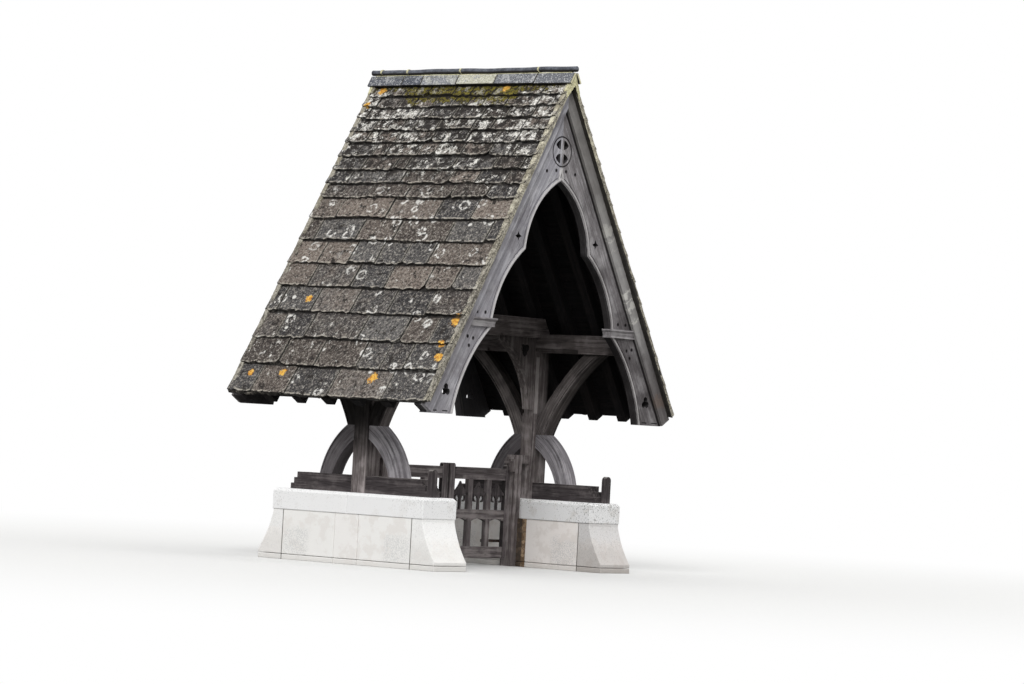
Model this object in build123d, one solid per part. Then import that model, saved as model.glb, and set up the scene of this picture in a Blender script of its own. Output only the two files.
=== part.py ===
from build123d import *
from math import cos, radians, sin, tan
import os

os.makedirs("parts", exist_ok=True)

# A timber lychgate: a steep stone-slabbed roof on two braced side frames,
# each standing on a low stone wall, with cusped boards in both gables and a
# pair of gates across the passage. X runs across the passage, Y along it,
# Z up from the ground. The origin is on the ground, in the middle. Sizes in mm.

# Side frames stand this far from the middle, and the eaves overhang them
frame_centre = 1562.0
eave_overhang = 823.0

# Roof
roof_angle = 59.0
eave_height = 1900.0
verge_half_length = 1530.0
slab_thickness = 34.0
slab_layer = 57.0
first_course_start = 40.0
lower_course_count = 8
lower_exposure_first = 395.0
lower_exposure_last = 305.0
upper_course_count = 9
upper_exposure_first = 215.0
upper_exposure_last = 140.0
roof_board_thickness = 20.0

# Ridge
ridge_half_length = 1569.0
roll_lift = 36.7
wing_lower_half_width = 122.0
wing_thickness = 34.0
wing_overhang = 20.0
wing_gap = 24.0
roll_seat = 0.3
roll_radius = 34.0

# Rafters
rafter_depth = 120.0
rafter_width = 130.0
rafter_spacing = 446.0
rafter_shift = 37.0
rafter_steps = (-2, -1, 0, 1, 2)
rafter_foot_start = 35.0
ridge_board_width = 44.0
ridge_board_depth = 230.0

# Gable boards. The band is measured level from the roof slope in to the arch,
# and drops are measured down from the top of the roof.
arch_board_front = 1415.0
arch_board_thickness = 100.0
arch_apex_drop = 1281.0
cusp_drop = 2117.0
cusp_band = 682.0
capital_band = 705.0
foot_band = 688.0
upper_arch_rise = 136.0
middle_arch_rise = 95.0
lower_arch_rise = 101.0
arch_foot_height = 1795.0
arch_toe_depth = 187.0
verge_board_depth = 160.0
verge_board_thickness = 55.0
verge_foot_lift = 5.0

# Bead and groove worked round the edge of the arch
bead_margin = 14.0
bead_width = 24.0
bead_rise = 10.0
groove_margin = 52.0
groove_width = 9.0
groove_depth = 8.0
fork_top = 168.0
fork_spread = 58.0
fork_width = 20.0

# Capitals
capital_bottom = 2816.0
capital_height = 103.0
capital_foot_height = 18.0
capital_head_height = 36.0
capital_foot_projection = 24.0
capital_neck_projection = 30.0
capital_projection = 46.0
capital_outer_inset = 235.0

# Gable piercings
roundel_drop = 933.0
roundel_radius = 142.0
roundel_upright_half = 29.0
roundel_arm_half = 25.0
roundel_arm_mid = (82.0, 40.0)
roundel_arm_end_half = 78.0
roundel_ring_radius = 181.0
star_band = 451.0
star_drop = 1974.0
star_reach = 62.0
star_waist = 28.0
foot_hole_band = 388.0
foot_hole_height = 2063.0
foot_hole_lobe = 37.0
foot_hole_offset = 38.0
foot_slot_bands = ((277.0, 392.0), (488.0, 584.0))
foot_slot_lift = 24.0
foot_slot_width = 14.0
peg_depth = 26.0
high_peg_drop = 1179.0
high_peg_x = 270.0
high_peg_radius = 16.0
eye_peg_drop = 1159.0
eye_peg_x = 92.0
eye_peg_radius = 13.0
upper_peg_bands = (472.0, 322.0)
upper_peg_lift = 61.0
upper_peg_radius = 19.0
lower_peg_bands = (456.0, 347.0, 440.0)
lower_peg_drops = (142.0, 125.0, 229.0)
lower_peg_radius = 14.0

# Side frames
post_width = 250.0
post_length = 200.0
post_chamfer = 30.0
post_chamfer_bottom = 1870.0
post_chamfer_top = 2560.0
plate_bottom = 2616.0
plate_top = 2840.0
plate_chamfer = 50.0
plate_chamfer_reach = 705.0
tie_bottom = 2790.0
tie_top = 3030.0
tie_width = 200.0
tie_end_depth = 150.0
tie_chamfer = 38.0
tie_chamfer_gap = 90.0
brace_thickness = 190.0
brace_groove_margin = 16.0
brace_groove_width = 12.0
brace_groove_depth = 12.0
brace_groove_stop = 45.0
sill_height = 200.0
sill_width = 220.0
sill_half_length = 955.0
sill_step = 47.0

# Braces, as distance from the middle of the frame and height
waist_height = 1612.0
waist_reach = 235.0
upper_brace_inner_height = 1775.0
upper_brace_inner_mid = (365.0, 2172.0)
upper_brace_inner_top = 780.0
upper_brace_outer_mid = (552.0, 2159.0)
upper_brace_outer_top = 1030.0
lower_brace_inner_height = 1455.0
lower_brace_inner_mid = (292.0, 1290.0)
lower_brace_inner_foot = 435.0
lower_brace_outer_mid = (490.0, 1346.0)
lower_brace_outer_foot = 620.0

# Knee brackets from the posts up to the tie beam
bracket_thickness = 100.0
bracket_reach = 640.0
bracket_foot_height = 1915.0
bracket_foot_depth = 75.0
bracket_toe = 45.0
bracket_rise = 122.0
bracket_groove_margin = 30.0
bracket_groove_width = 12.0
bracket_groove_depth = 9.0
trefoil_lobe = 44.0
trefoil_offset = 40.0
trefoil_back = 210.0
trefoil_drop = 150.0

# Low walls, measured in from the middle of the frame they carry
wall_inset = 290.0
wall_thickness = 581.0
coping_inset = 301.0
coping_thickness = 602.0
coping_half_length = 1145.0
coping_bottom = 584.0
coping_top = 829.0
coping_bevel = 30.0
wall_top_half_length = 1140.0
wall_foot_half_length = 1345.0
batter_top = 550.0
batter_bottom = 100.0
batter_rise = 24.0

# Short stubs at the front ends of the coping, in front of the sills
stub_inset = 83.0
stub_width = 100.0
stub_clearance = 2.0
stub_length = 62.0
stub_top = 1150.0

# Gate posts
gate_post_inset = 387.0
gate_post_width = 130.0
gate_post_length = 160.0
gate_post_shift = 40.0
gate_cap_bottom = 1150.0
gate_cap_top = 1250.0
gate_cap_overhang = 63.0
gate_cap_back = 10.0
gate_head_overhang = 48.0
gate_head_step = 20.0
gate_head_rise = 26.0
gate_head_steps = 4
coping_notch_clearance = 50.0

# Gates
gate_front = 30.0
gate_thickness = 50.0
gate_meeting_gap = 5.0
gate_hanging_gap = 25.0
gate_bottom = 90.0
gate_top = 1180.0
gate_knob_top = 1222.0
gate_knob_round = 28.0
meeting_stile_width = 115.0
hanging_stile_width = 60.0
muntin_width = 82.0
rail_cap_height = 26.0
rail_cap_projection = 8.0
top_rail_bottom = 1036.0
mid_rail_top = 674.0
mid_rail_bottom = 566.0
lower_bay_rise = 30.0
bottom_rail_top = 230.0
bay_count = 3

# Tracery in the upper bays of the gates
tracery_thickness = 26.0
spear_bottom = 852.0
spear_shoulder = 872.0
spear_tip = 1010.0
spear_hollow = 14.0
eyelet_height = 950.0
eyelet_radius = 11.0
stem_half_width = 15.0
scroll_radius = 46.0
scroll_width = 15.0
scroll_offset = 56.0
scroll_seat = 5.0

# Gate hinges
hinge_gap = 18.0
hinge_back_offset = 20.0
pin_radius = 6.0
eye_radius = 13.0
pin_clearance = 0.4
eye_height = 40.0
strap_thickness = 6.0
strap_length = 420.0
strap_height = 34.0
hinge_heights = (300.0, 1090.0)
shank_height = 14.0
pin_top_clearance = 12.0
shank_clearance = 1.0


slope = radians(roof_angle)
eave_half_width = frame_centre + eave_overhang
apex_height = eave_height + eave_half_width * tan(slope)


def on_roof(along, depth):
    """Point of the roof section: along the slope from the eaves, and down into it."""
    x = eave_half_width - along * cos(slope) - depth * sin(slope)
    z = eave_height + along * sin(slope) - depth * cos(slope)
    return (x, z)


def along_at(x, depth):
    """Length up the slope at which a layer of this depth is this far from the middle."""
    return (eave_half_width - depth * sin(slope) - x) / cos(slope)


def in_from_slope(band, height):
    """Point this far in from the top of the slabs, measured level, at a height."""
    return ((apex_height - height) / tan(slope) - band, height)


def polygon_xz(points, y_low, y_high):
    face = Plane.XZ * make_face(Polyline(*points, close=True))
    return Pos(0, y_high, 0) * extrude(face, amount=y_high - y_low, dir=(0, -1, 0))


def sheet_xz(face, y_low, y_high):
    """A face drawn in X and Z, given a thickness along Y."""
    return Pos(0, y_high, 0) * extrude(Plane.XZ * face, amount=y_high - y_low, dir=(0, -1, 0))


def sheet_yz(face, x_low, x_high):
    """A face drawn in Y and Z, given a thickness along X."""
    return Pos(x_low, 0, 0) * extrude(Plane.YZ * face, amount=x_high - x_low, dir=(1, 0, 0))


def block(x_low, x_high, y_low, y_high, z_low, z_high):
    size = (x_high - x_low, y_high - y_low, z_high - z_low)
    return Pos(x_low, y_low, z_low) * Box(*size, align=(Align.MIN, Align.MIN, Align.MIN))


def arris_cut(centre, direction, length, leg):
    """A square bar set cornerwise on an arris, which leaves a chamfer with this leg."""
    side = leg * 2 ** 0.5
    turn = {"x": Rot(45, 0, 0) * Box(length, side, side), "y": Rot(0, 45, 0) * Box(side, length, side),
            "z": Rot(0, 0, 45) * Box(side, side, length)}
    return Pos(*centre) * turn[direction]


def ring_through(start, middle, end, inset, width):
    """A ring whose outer edge runs this far inside the arc through three points, or
    outside it where the inset is negative."""
    arc = ThreePointArc(start, middle, end)
    radius = arc.radius - inset
    ring = Circle(radius) - Circle(radius - width)
    centre = arc.arc_center
    return Pos(centre.X, centre.Y) * ring


def write(name, *shapes):
    solids = [solid for shape in shapes for solid in shape.solids()]
    export_step(solids[0] if len(solids) == 1 else Compound(children=solids), "parts/" + name + ".step")


def both_sides(name, *shapes):
    """The right-hand piece as modelled, and its mirror image on the left."""
    write(name + "_right", *shapes)
    write(name + "_left", *[mirror(shape, about=Plane.YZ) for shape in shapes])


def front_and_back(shape):
    return [shape, mirror(shape, about=Plane.XZ)]


wing_along = (eave_half_width - wing_lower_half_width) / cos(slope)


# Roof covering: each course lies on the tail of the one below. The lower
# courses are of large slabs and the upper ones of small slabs.
def graded(first, last, count):
    return [first + (last - first) * i / (count - 1) for i in range(count)]


def course_starts():
    exposures = graded(lower_exposure_first, lower_exposure_last, lower_course_count)
    exposures += graded(upper_exposure_first, upper_exposure_last, upper_course_count)
    scale = (wing_along + wing_overhang - first_course_start) / sum(exposures)
    starts = [first_course_start]
    for exposure in exposures:
        starts.append(starts[-1] + exposure * scale)
    return starts


def slab_roof():
    starts = course_starts()
    points = [on_roof(starts[0], slab_layer)]
    for low, high in zip(starts[:-1], starts[1:]):
        points.append(on_roof(low, 0))
        points.append(on_roof(high, slab_thickness))
    points.append(on_roof(starts[-1], 0))
    points.append(on_roof(along_at(0, 0), 0))
    points.append(on_roof(along_at(0, slab_layer), slab_layer))
    return polygon_xz(points, -verge_half_length, verge_half_length)


board_back = arch_board_front - arch_board_thickness
rafter_top_depth = slab_layer + roof_board_thickness


def roof_boarding():
    points = [
        on_roof(first_course_start, slab_layer),
        on_roof(along_at(0, slab_layer), slab_layer),
        on_roof(along_at(0, rafter_top_depth), rafter_top_depth),
        on_roof(first_course_start, rafter_top_depth),
    ]
    return polygon_xz(points, -board_back, board_back)


both_sides("slab_roof", slab_roof())
both_sides("roof_boarding", roof_boarding())


# Ridge: two wings that lie on the top course, and a round roll along their joint
roll_height = apex_height + roll_lift


def ridge_bar(radius, half_length):
    return Pos(0, 0, roll_height) * Rot(90, 0, 0) * Cylinder(radius, 2 * half_length)


def ridge_wing():
    inner_x = wing_gap / 2
    points = [
        on_roof(wing_along, 0),
        on_roof(along_at(inner_x, 0), 0),
        on_roof(along_at(inner_x, -wing_thickness), -wing_thickness),
        on_roof(wing_along, -wing_thickness),
    ]
    seat = ridge_bar(roll_radius + roll_seat, 2 * ridge_half_length)
    return polygon_xz(points, -ridge_half_length, ridge_half_length) - seat


both_sides("ridge_wing", ridge_wing())
write("ridge_roll", ridge_bar(roll_radius, ridge_half_length))


# Tie beam, wall plates and ridge board
plate_inner = frame_centre - post_width / 2
plate_outer = frame_centre + post_width / 2
bracket_toe_x = plate_inner - bracket_reach


def tie_half():
    end = on_roof(0, tie_end_depth)
    run = 1 / tan(slope)
    x_at = lambda z: end[0] - (z - end[1]) * run
    points = [(0, tie_bottom), (x_at(tie_bottom), tie_bottom), (x_at(tie_top), tie_top), (0, tie_top)]
    return polygon_xz(points, -tie_width / 2, tie_width / 2)


tie_right = tie_half()
tie_beam = tie_right + mirror(tie_right, about=Plane.YZ)
tie_chamfer_length = 2 * (bracket_toe_x - tie_chamfer_gap)
for side in (-1, 1):
    tie_beam = tie_beam - arris_cut((0, side * tie_width / 2, tie_bottom), "x", tie_chamfer_length, tie_chamfer)
write("tie_beam", tie_beam)


def wall_plate():
    plate = block(plate_inner, plate_outer, -board_back, board_back, plate_bottom, plate_top)
    plate = plate - block(0, eave_half_width, -tie_width / 2, tie_width / 2, tie_bottom, tie_top)
    length = plate_chamfer_reach - post_length / 2
    middle = plate_chamfer_reach / 2 + post_length / 4
    for x in (plate_inner, plate_outer):
        for y in (-middle, middle):
            plate = plate - arris_cut((x, y, plate_bottom), "y", length, plate_chamfer)
    return plate


both_sides("wall_plate", wall_plate())

ridge_board_top = apex_height - rafter_top_depth / cos(slope) - ridge_board_width / 2 * tan(slope)
write("ridge_board", block(-ridge_board_width / 2, ridge_board_width / 2, -board_back, board_back,
                           ridge_board_top - ridge_board_depth, ridge_board_top))


def rafter(y):
    low = rafter_top_depth
    deep = rafter_top_depth + rafter_depth
    half_board = ridge_board_width / 2
    points = [
        on_roof(rafter_foot_start, low),
        on_roof(along_at(half_board, low), low),
        on_roof(along_at(half_board, deep), deep),
        on_roof(rafter_foot_start, deep),
    ]
    timber = polygon_xz(points, y - rafter_width / 2, y + rafter_width / 2)
    return timber - block(plate_inner, plate_outer, -board_back, board_back, 0, plate_top) - tie_right


both_sides("rafters", *[rafter(rafter_shift + step * rafter_spacing) for step in rafter_steps])


# Gable boards: half of the gable, from the middle joint to the eaves
arch_apex = (0, apex_height - arch_apex_drop)
arch_cusp = in_from_slope(cusp_band, apex_height - cusp_drop)
capital_top = capital_bottom + capital_height
arch_spring = in_from_slope(capital_band, capital_bottom)
arch_shoulder = (arch_spring[0], capital_top)
arch_foot = in_from_slope(foot_band, arch_foot_height)


def arch_edge():
    """The edge of the arch, from its point in the middle down to the foot."""
    return [
        SagittaArc(arch_apex, arch_cusp, upper_arch_rise),
        SagittaArc(arch_cusp, arch_shoulder, middle_arch_rise),
        Line(arch_shoulder, arch_spring),
        SagittaArc(arch_spring, arch_foot, lower_arch_rise),
    ]


# Low ends of the gable boards. The verge boards stop just above the foot of the
# arch boards, which are cut off square with them but for a toe at the bottom.
verge_board_deep = slab_layer + verge_board_depth
verge_foot_rise = arch_foot_height + verge_foot_lift - eave_height
verge_board_foot = (verge_foot_rise + verge_board_deep * cos(slope)) / sin(slope)


def arch_board_face():
    toe = in_from_slope(arch_toe_depth / sin(slope), arch_foot_height)
    heel = on_roof(verge_board_foot, arch_toe_depth)
    end = on_roof(verge_board_foot, slab_layer)
    peak = on_roof(along_at(0, slab_layer), slab_layer)
    outline = [Line(arch_foot, toe), Line(toe, heel), Line(heel, end), Line(end, peak), Line(peak, arch_apex)]
    return make_face(arch_edge() + outline)


def arch_void_face():
    """The open air inside one half of the arch."""
    floor = (0, arch_foot_height)
    return make_face(arch_edge() + [Line(arch_foot, floor), Line(floor, arch_apex)])


def verge_board():
    points = [
        on_roof(verge_board_foot, slab_layer),
        on_roof(along_at(0, slab_layer), slab_layer),
        on_roof(along_at(0, verge_board_deep), verge_board_deep),
        on_roof(verge_board_foot, verge_board_deep),
    ]
    return polygon_xz(points, -arch_board_front - verge_board_thickness, -arch_board_front)


def star_face(reach, waist):
    points = []
    for quarter in range(4):
        turn = radians(90 * quarter)
        half = radians(90 * quarter + 45)
        points.append((reach * sin(turn), reach * cos(turn)))
        points.append((waist * sin(half), waist * cos(half)))
    return make_face(Polyline(*points, close=True))


def roundel_sector_face():
    """One opening of the roundel, between an upright arm and a flared level arm."""
    corner = (roundel_upright_half, roundel_arm_half)
    top = (roundel_upright_half, (roundel_radius ** 2 - roundel_upright_half ** 2) ** 0.5)
    arm_end = ((roundel_radius ** 2 - roundel_arm_end_half ** 2) ** 0.5, roundel_arm_end_half)
    return make_face([
        ThreePointArc(corner, roundel_arm_mid, arm_end),
        RadiusArc(arm_end, top, -roundel_radius),
        Line(top, corner),
    ])


def trefoil_face(lobe, reach, turns):
    """Three round lobes, this far out from the middle and turned by these angles."""
    return Sketch() + [Pos(reach * sin(radians(t)), reach * cos(radians(t))) * Circle(lobe) for t in turns]


def bead_face():
    """A strip that follows the arch just outside its edge, and the fork above its point."""
    void = arch_void_face()
    strip = offset(void, bead_margin + bead_width, kind=Kind.INTERSECTION)
    strip = strip - offset(void, bead_margin, kind=Kind.INTERSECTION)
    top = arch_apex[1] + fork_top
    fork = make_face(Polyline((0, top), (fork_spread, arch_apex[1]), (fork_spread - fork_width, arch_apex[1]),
                              (0, top - 3 * fork_width), close=True))
    fork = fork - offset(void, bead_margin + bead_width / 2, kind=Kind.INTERSECTION)
    return (strip + fork) & arch_board_face()


def groove_face():
    """The line cut round the board beside the bead."""
    outer = offset(arch_board_face(), -groove_margin, kind=Kind.INTERSECTION)
    return outer - offset(outer, -groove_width, kind=Kind.INTERSECTION)


def foot_slot_face(inner_band, outer_band):
    """A short level slot just above the foot of the board."""
    low = arch_foot_height + foot_slot_lift
    high = low + foot_slot_width
    outer_end = in_from_slope(outer_band, low)[0]
    inner_end = in_from_slope(inner_band, low)[0]
    return make_face(Polyline((outer_end, low), (inner_end, low), (inner_end, high), (outer_end, high), close=True))


def through_board(face, x, z):
    return sheet_xz(Pos(x, z) * face, -2 * arch_board_front, 0)


def into_board(face, x, z, depth):
    return sheet_xz(Pos(x, z) * face, -2 * arch_board_front, -arch_board_front + depth)


def capital_keepout():
    """Where the capital and the verge board lie on the face of the board."""
    reach = arch_board_front + verge_board_thickness
    return [block(0, frame_centre, -reach, 0, capital_bottom, capital_top), verge_board()]


def arch_board():
    board = sheet_xz(arch_board_face(), -arch_board_front, -board_back)
    bead = sheet_xz(bead_face(), -arch_board_front - bead_rise, -arch_board_front)
    groove = into_board(groove_face(), 0, 0, groove_depth)
    for cover in capital_keepout():
        bead = bead - cover
    covered = polygon_xz([
        on_roof(0, 0),
        on_roof(along_at(0, 0), 0),
        on_roof(along_at(0, verge_board_deep), verge_board_deep),
        on_roof(0, verge_board_deep),
    ], -2 * arch_board_front, 0)
    groove = groove - covered - block(0, frame_centre, -2 * arch_board_front, 0, capital_bottom, capital_top)
    groove = groove - block(-frame_centre, groove_margin + groove_width, -2 * arch_board_front, 0, 0, apex_height)
    groove_end = arch_foot_height + groove_margin + groove_width
    groove = groove - block(0, eave_half_width, -2 * arch_board_front, 0, 0, groove_end)
    board = board + bead - groove
    ring = Circle(roundel_ring_radius) - Circle(roundel_ring_radius - groove_width)
    roundel_height = apex_height - roundel_drop
    sector = roundel_sector_face()
    star = in_from_slope(star_band, apex_height - star_drop)
    foot_hole = in_from_slope(foot_hole_band, foot_hole_height)
    cuts = [
        through_board(sector, 0, roundel_height),
        through_board(mirror(sector, about=Plane.XZ), 0, roundel_height),
        into_board(ring, 0, roundel_height, groove_depth),
        through_board(star_face(star_reach, star_waist), *star),
        through_board(trefoil_face(foot_hole_lobe, foot_hole_offset, (0, 120, 240)), *foot_hole),
        into_board(Circle(high_peg_radius), high_peg_x, apex_height - high_peg_drop, peg_depth),
        into_board(Circle(eye_peg_radius), eye_peg_x, apex_height - eye_peg_drop, peg_depth),
    ]
    for bands in foot_slot_bands:
        cuts.append(into_board(foot_slot_face(*bands), 0, 0, groove_depth))
    for band in upper_peg_bands:
        place = in_from_slope(band, capital_top + upper_peg_lift)
        cuts.append(into_board(RegularPolygon(upper_peg_radius, 3, rotation=90), *place, peg_depth))
    for band, drop in zip(lower_peg_bands, lower_peg_drops):
        place = in_from_slope(band, capital_bottom - drop)
        cuts.append(into_board(Circle(lower_peg_radius), *place, peg_depth))
    for cut in cuts:
        board = board - cut
    return board


def capital_profile(back):
    """How far the capital stands out at each height, with its foot, neck and head."""
    foot_top = capital_bottom + capital_foot_height
    head_bottom = capital_top - capital_head_height
    head_middle = capital_top - capital_head_height / 2
    return [
        (back, capital_bottom), (-capital_foot_projection, capital_bottom), (-capital_foot_projection, foot_top),
        (-capital_neck_projection + bead_rise, foot_top), (-capital_neck_projection, head_bottom),
        (-capital_projection, head_middle), (-capital_projection, capital_top), (back, capital_top),
    ]


def capital():
    inner = arch_spring[0]
    outer = in_from_slope(capital_outer_inset, capital_bottom)[0]
    front = block(inner - capital_projection, outer, -arch_board_front - capital_projection, -arch_board_front,
                  capital_bottom, capital_top)
    side = block(inner - capital_projection, inner, -arch_board_front - capital_projection, -board_back,
                 capital_bottom, capital_top)
    across = sheet_yz(make_face(Polyline(*capital_profile(2 * arch_board_front), close=True)), 0, 2 * frame_centre)
    along = polygon_xz(capital_profile(2 * frame_centre), -2 * arch_board_front, 0)
    moulded = (front + side) & (Pos(0, -arch_board_front, 0) * across) & (Pos(inner, 0, 0) * along)
    return moulded - verge_board()


gable_pieces = (("arch_board", arch_board()), ("verge_board", verge_board()), ("capital", capital()))
for gable, turn in (("front", 0), ("back", 180)):
    side_names = ("right", "left") if turn == 0 else ("left", "right")
    for piece_name, piece in gable_pieces:
        turned = Rot(0, 0, turn) * piece
        write(piece_name + "_" + gable + "_" + side_names[0], turned)
        write(piece_name + "_" + gable + "_" + side_names[1], mirror(turned, about=Plane.YZ))


# Side frames
def post():
    timber = block(plate_inner, plate_outer, -post_length / 2, post_length / 2, coping_top, plate_bottom)
    middle = (post_chamfer_bottom + post_chamfer_top) / 2
    length = post_chamfer_top - post_chamfer_bottom
    for x in (plate_inner, plate_outer):
        for y in (-post_length / 2, post_length / 2):
            timber = timber - arris_cut((x, y, middle), "z", length, post_chamfer)
    return timber


both_sides("post", post())


def grooved_brace(edges, ring, bottom, top):
    """A brace of this outline, with a groove in both faces that stops short of its ends."""
    face = make_face(edges)
    half = brace_thickness / 2
    low = frame_centre - half
    high = frame_centre + half
    brace = sheet_yz(face, low, high)
    stopped = Pos(0, bottom + brace_groove_stop) * Rectangle(
        2 * plate_bottom, top - bottom - 2 * brace_groove_stop, align=(Align.MIN, Align.MIN))
    line = ring & face & stopped
    brace = brace - sheet_yz(line, low, low + brace_groove_depth)
    return brace - sheet_yz(line, high - brace_groove_depth, high)


def upper_brace():
    root = post_length / 2
    waist = (waist_reach, waist_height)
    outer_top = (upper_brace_outer_top, plate_bottom)
    inner_top = (upper_brace_inner_top, plate_bottom)
    edges = [
        Line((root, waist_height), waist),
        ThreePointArc(waist, upper_brace_outer_mid, outer_top),
        Line(outer_top, inner_top),
        ThreePointArc(inner_top, upper_brace_inner_mid, (root, upper_brace_inner_height)),
        Line((root, upper_brace_inner_height), (root, waist_height)),
    ]
    ring = ring_through(waist, upper_brace_outer_mid, outer_top, -brace_groove_margin - brace_groove_width,
                        brace_groove_width)
    return grooved_brace(edges, ring, waist_height, plate_bottom)


def lower_brace():
    root = post_length / 2
    foot = coping_top + sill_height
    waist = (waist_reach, waist_height)
    outer_foot = (lower_brace_outer_foot, foot)
    inner_foot = (lower_brace_inner_foot, foot)
    edges = [
        Line((root, waist_height), waist),
        ThreePointArc(waist, lower_brace_outer_mid, outer_foot),
        Line(outer_foot, inner_foot),
        ThreePointArc(inner_foot, lower_brace_inner_mid, (root, lower_brace_inner_height)),
        Line((root, lower_brace_inner_height), (root, waist_height)),
    ]
    ring = ring_through(waist, lower_brace_outer_mid, outer_foot, brace_groove_margin, brace_groove_width)
    return grooved_brace(edges, ring, foot, waist_height)


def sill():
    """Sill from the post outwards, with its top end cut back in steps."""
    top = coping_top + sill_height
    ends = [sill_half_length + 2 * sill_step, sill_half_length + sill_step, sill_half_length]
    points = [(post_length / 2, coping_top)]
    for i, end in enumerate(ends):
        points.append((end, coping_top + i * sill_height / 3))
        points.append((end, coping_top + (i + 1) * sill_height / 3))
    points.append((post_length / 2, top))
    face = make_face(Polyline(*points, close=True))
    return sheet_yz(face, frame_centre - sill_width / 2, frame_centre + sill_width / 2)


both_sides("upper_braces", *front_and_back(upper_brace()))
both_sides("lower_braces", *front_and_back(lower_brace()))
both_sides("sills", *front_and_back(sill()))


# Knee brackets
def knee_bracket():
    back = plate_inner
    toe = (bracket_toe_x, tie_bottom - bracket_toe)
    foot = (back - bracket_foot_depth, bracket_foot_height)
    curve = SagittaArc(toe, foot, bracket_rise)
    face = make_face([
        Line((back, bracket_foot_height), (back, tie_bottom)),
        Line((back, tie_bottom), (toe[0], tie_bottom)),
        Line((toe[0], tie_bottom), toe),
        curve,
        Line(foot, (back, bracket_foot_height)),
    ])
    half = bracket_thickness / 2
    body = sheet_xz(face, -half, half)
    line = ring_through(toe, curve @ 0.5, foot, -bracket_groove_margin - bracket_groove_width,
                        bracket_groove_width) & face
    body = body - sheet_xz(line, -half, -half + bracket_groove_depth)
    body = body - sheet_xz(line, half - bracket_groove_depth, half)
    lobes = trefoil_face(trefoil_lobe, trefoil_offset, (60, 180, 300))
    return body - sheet_xz(Pos(back - trefoil_back, tie_bottom - trefoil_drop) * lobes, -post_length, post_length)


both_sides("knee_bracket", knee_bracket())


# Low walls and their coping
wall_face = frame_centre - wall_inset
coping_face = frame_centre - coping_inset
gate_post_face = frame_centre - gate_post_inset
gate_post_back = gate_post_face + gate_post_width
post_y_low = gate_post_shift - gate_post_length / 2
post_y_high = gate_post_shift + gate_post_length / 2


def low_wall():
    """A wall whose ends sweep out to their foot, with a chase for the gate post."""
    batter_foot = (wall_foot_half_length, batter_bottom)
    batter_head = (wall_top_half_length, batter_top)
    face = make_face([
        Line((0, 0), (wall_foot_half_length, 0)),
        Line((wall_foot_half_length, 0), batter_foot),
        SagittaArc(batter_foot, batter_head, batter_rise),
        Line(batter_head, (wall_top_half_length, coping_bottom)),
        Line((wall_top_half_length, coping_bottom), (0, coping_bottom)),
        Line((0, coping_bottom), (0, 0)),
    ])
    half = sheet_yz(face, wall_face, wall_face + wall_thickness)
    chase = block(0, gate_post_back, post_y_low, post_y_high, 0, coping_bottom)
    return half + mirror(half, about=Plane.XZ) - chase


def coping():
    slab = block(coping_face, coping_face + coping_thickness, -coping_half_length, coping_half_length,
                 coping_bottom, coping_top)
    slab = chamfer(slab.edges().group_by(Axis.Z)[-1], coping_bevel)
    notch = block(0, gate_post_back, post_y_low - coping_notch_clearance, post_y_high + coping_notch_clearance,
                  coping_bottom, coping_top)
    return slab - notch


def end_stub():
    x = frame_centre + stub_inset
    half = stub_width / 2
    back = sill_half_length + 2 * sill_step + stub_clearance
    shaft = block(x - half, x + half, -back - stub_length, -back, coping_top, stub_top - half)
    head = Pos(x, -back - stub_length / 2, stub_top - half) * Rot(90, 0, 0) * Cylinder(half, stub_length)
    return shaft + head


both_sides("low_wall", low_wall())
both_sides("coping", coping())
write("end_stubs", end_stub(), mirror(end_stub(), about=Plane.YZ))


# Gate posts, with a moulded cap and a stepped head that dies into the frame post
def gate_post():
    head_foot = gate_cap_top
    shaft = block(gate_post_face, gate_post_back, post_y_low, post_y_high, 0, head_foot)
    shaft = shaft + block(gate_post_face - gate_cap_overhang, gate_post_back, post_y_low, gate_cap_back,
                          gate_cap_bottom, gate_cap_top)
    for i in range(gate_head_steps):
        shaft = shaft + block(gate_post_face - gate_head_overhang + i * gate_head_step, plate_inner, post_y_low,
                              post_length / 2, head_foot + i * gate_head_rise, head_foot + (i + 1) * gate_head_rise)
    return shaft


both_sides("gate_post", gate_post())


# Gates
gate_hanging_edge = gate_post_face - gate_hanging_gap
gate_back = gate_front + gate_thickness
first_bay = gate_meeting_gap + meeting_stile_width
bay_width = (gate_hanging_edge - hanging_stile_width - first_bay - (bay_count - 1) * muntin_width) / bay_count
bay_lows = [first_bay + i * (bay_width + muntin_width) for i in range(bay_count)]


def stile_head(low, high):
    """The rounded head that a stile carries above the top rail."""
    head = block(low, high, gate_front, gate_back, gate_top, gate_knob_top)
    top_edges = head.edges().filter_by(Axis.Y).group_by(Axis.Z)[-1]
    return fillet(top_edges, min(gate_knob_round, (high - low) / 2 - 1))


def lower_bay_face(low, high):
    """The opening under the mid rail, with a flat arch for its head."""
    spring = mid_rail_bottom - lower_bay_rise
    middle = (low + high) / 2
    return make_face([
        Line((low, bottom_rail_top), (high, bottom_rail_top)),
        Line((high, bottom_rail_top), (high, spring)),
        ThreePointArc((high, spring), (middle, mid_rail_bottom), (low, spring)),
        Line((low, spring), (low, bottom_rail_top)),
    ])


def gate_leaf():
    outer = gate_hanging_edge
    frame = block(gate_meeting_gap, outer, gate_front, gate_back, gate_bottom, gate_top)
    frame = frame + stile_head(gate_meeting_gap, first_bay) + stile_head(outer - hanging_stile_width, outer)
    frame = frame + block(first_bay, outer - hanging_stile_width, gate_front - rail_cap_projection,
                          gate_back + rail_cap_projection, gate_top - rail_cap_height, gate_top)
    for low in bay_lows:
        high = low + bay_width
        frame = frame - block(low, high, gate_front, gate_back, mid_rail_top, top_rail_bottom)
        frame = frame - sheet_xz(lower_bay_face(low, high), gate_front, gate_back)
    return frame


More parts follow.
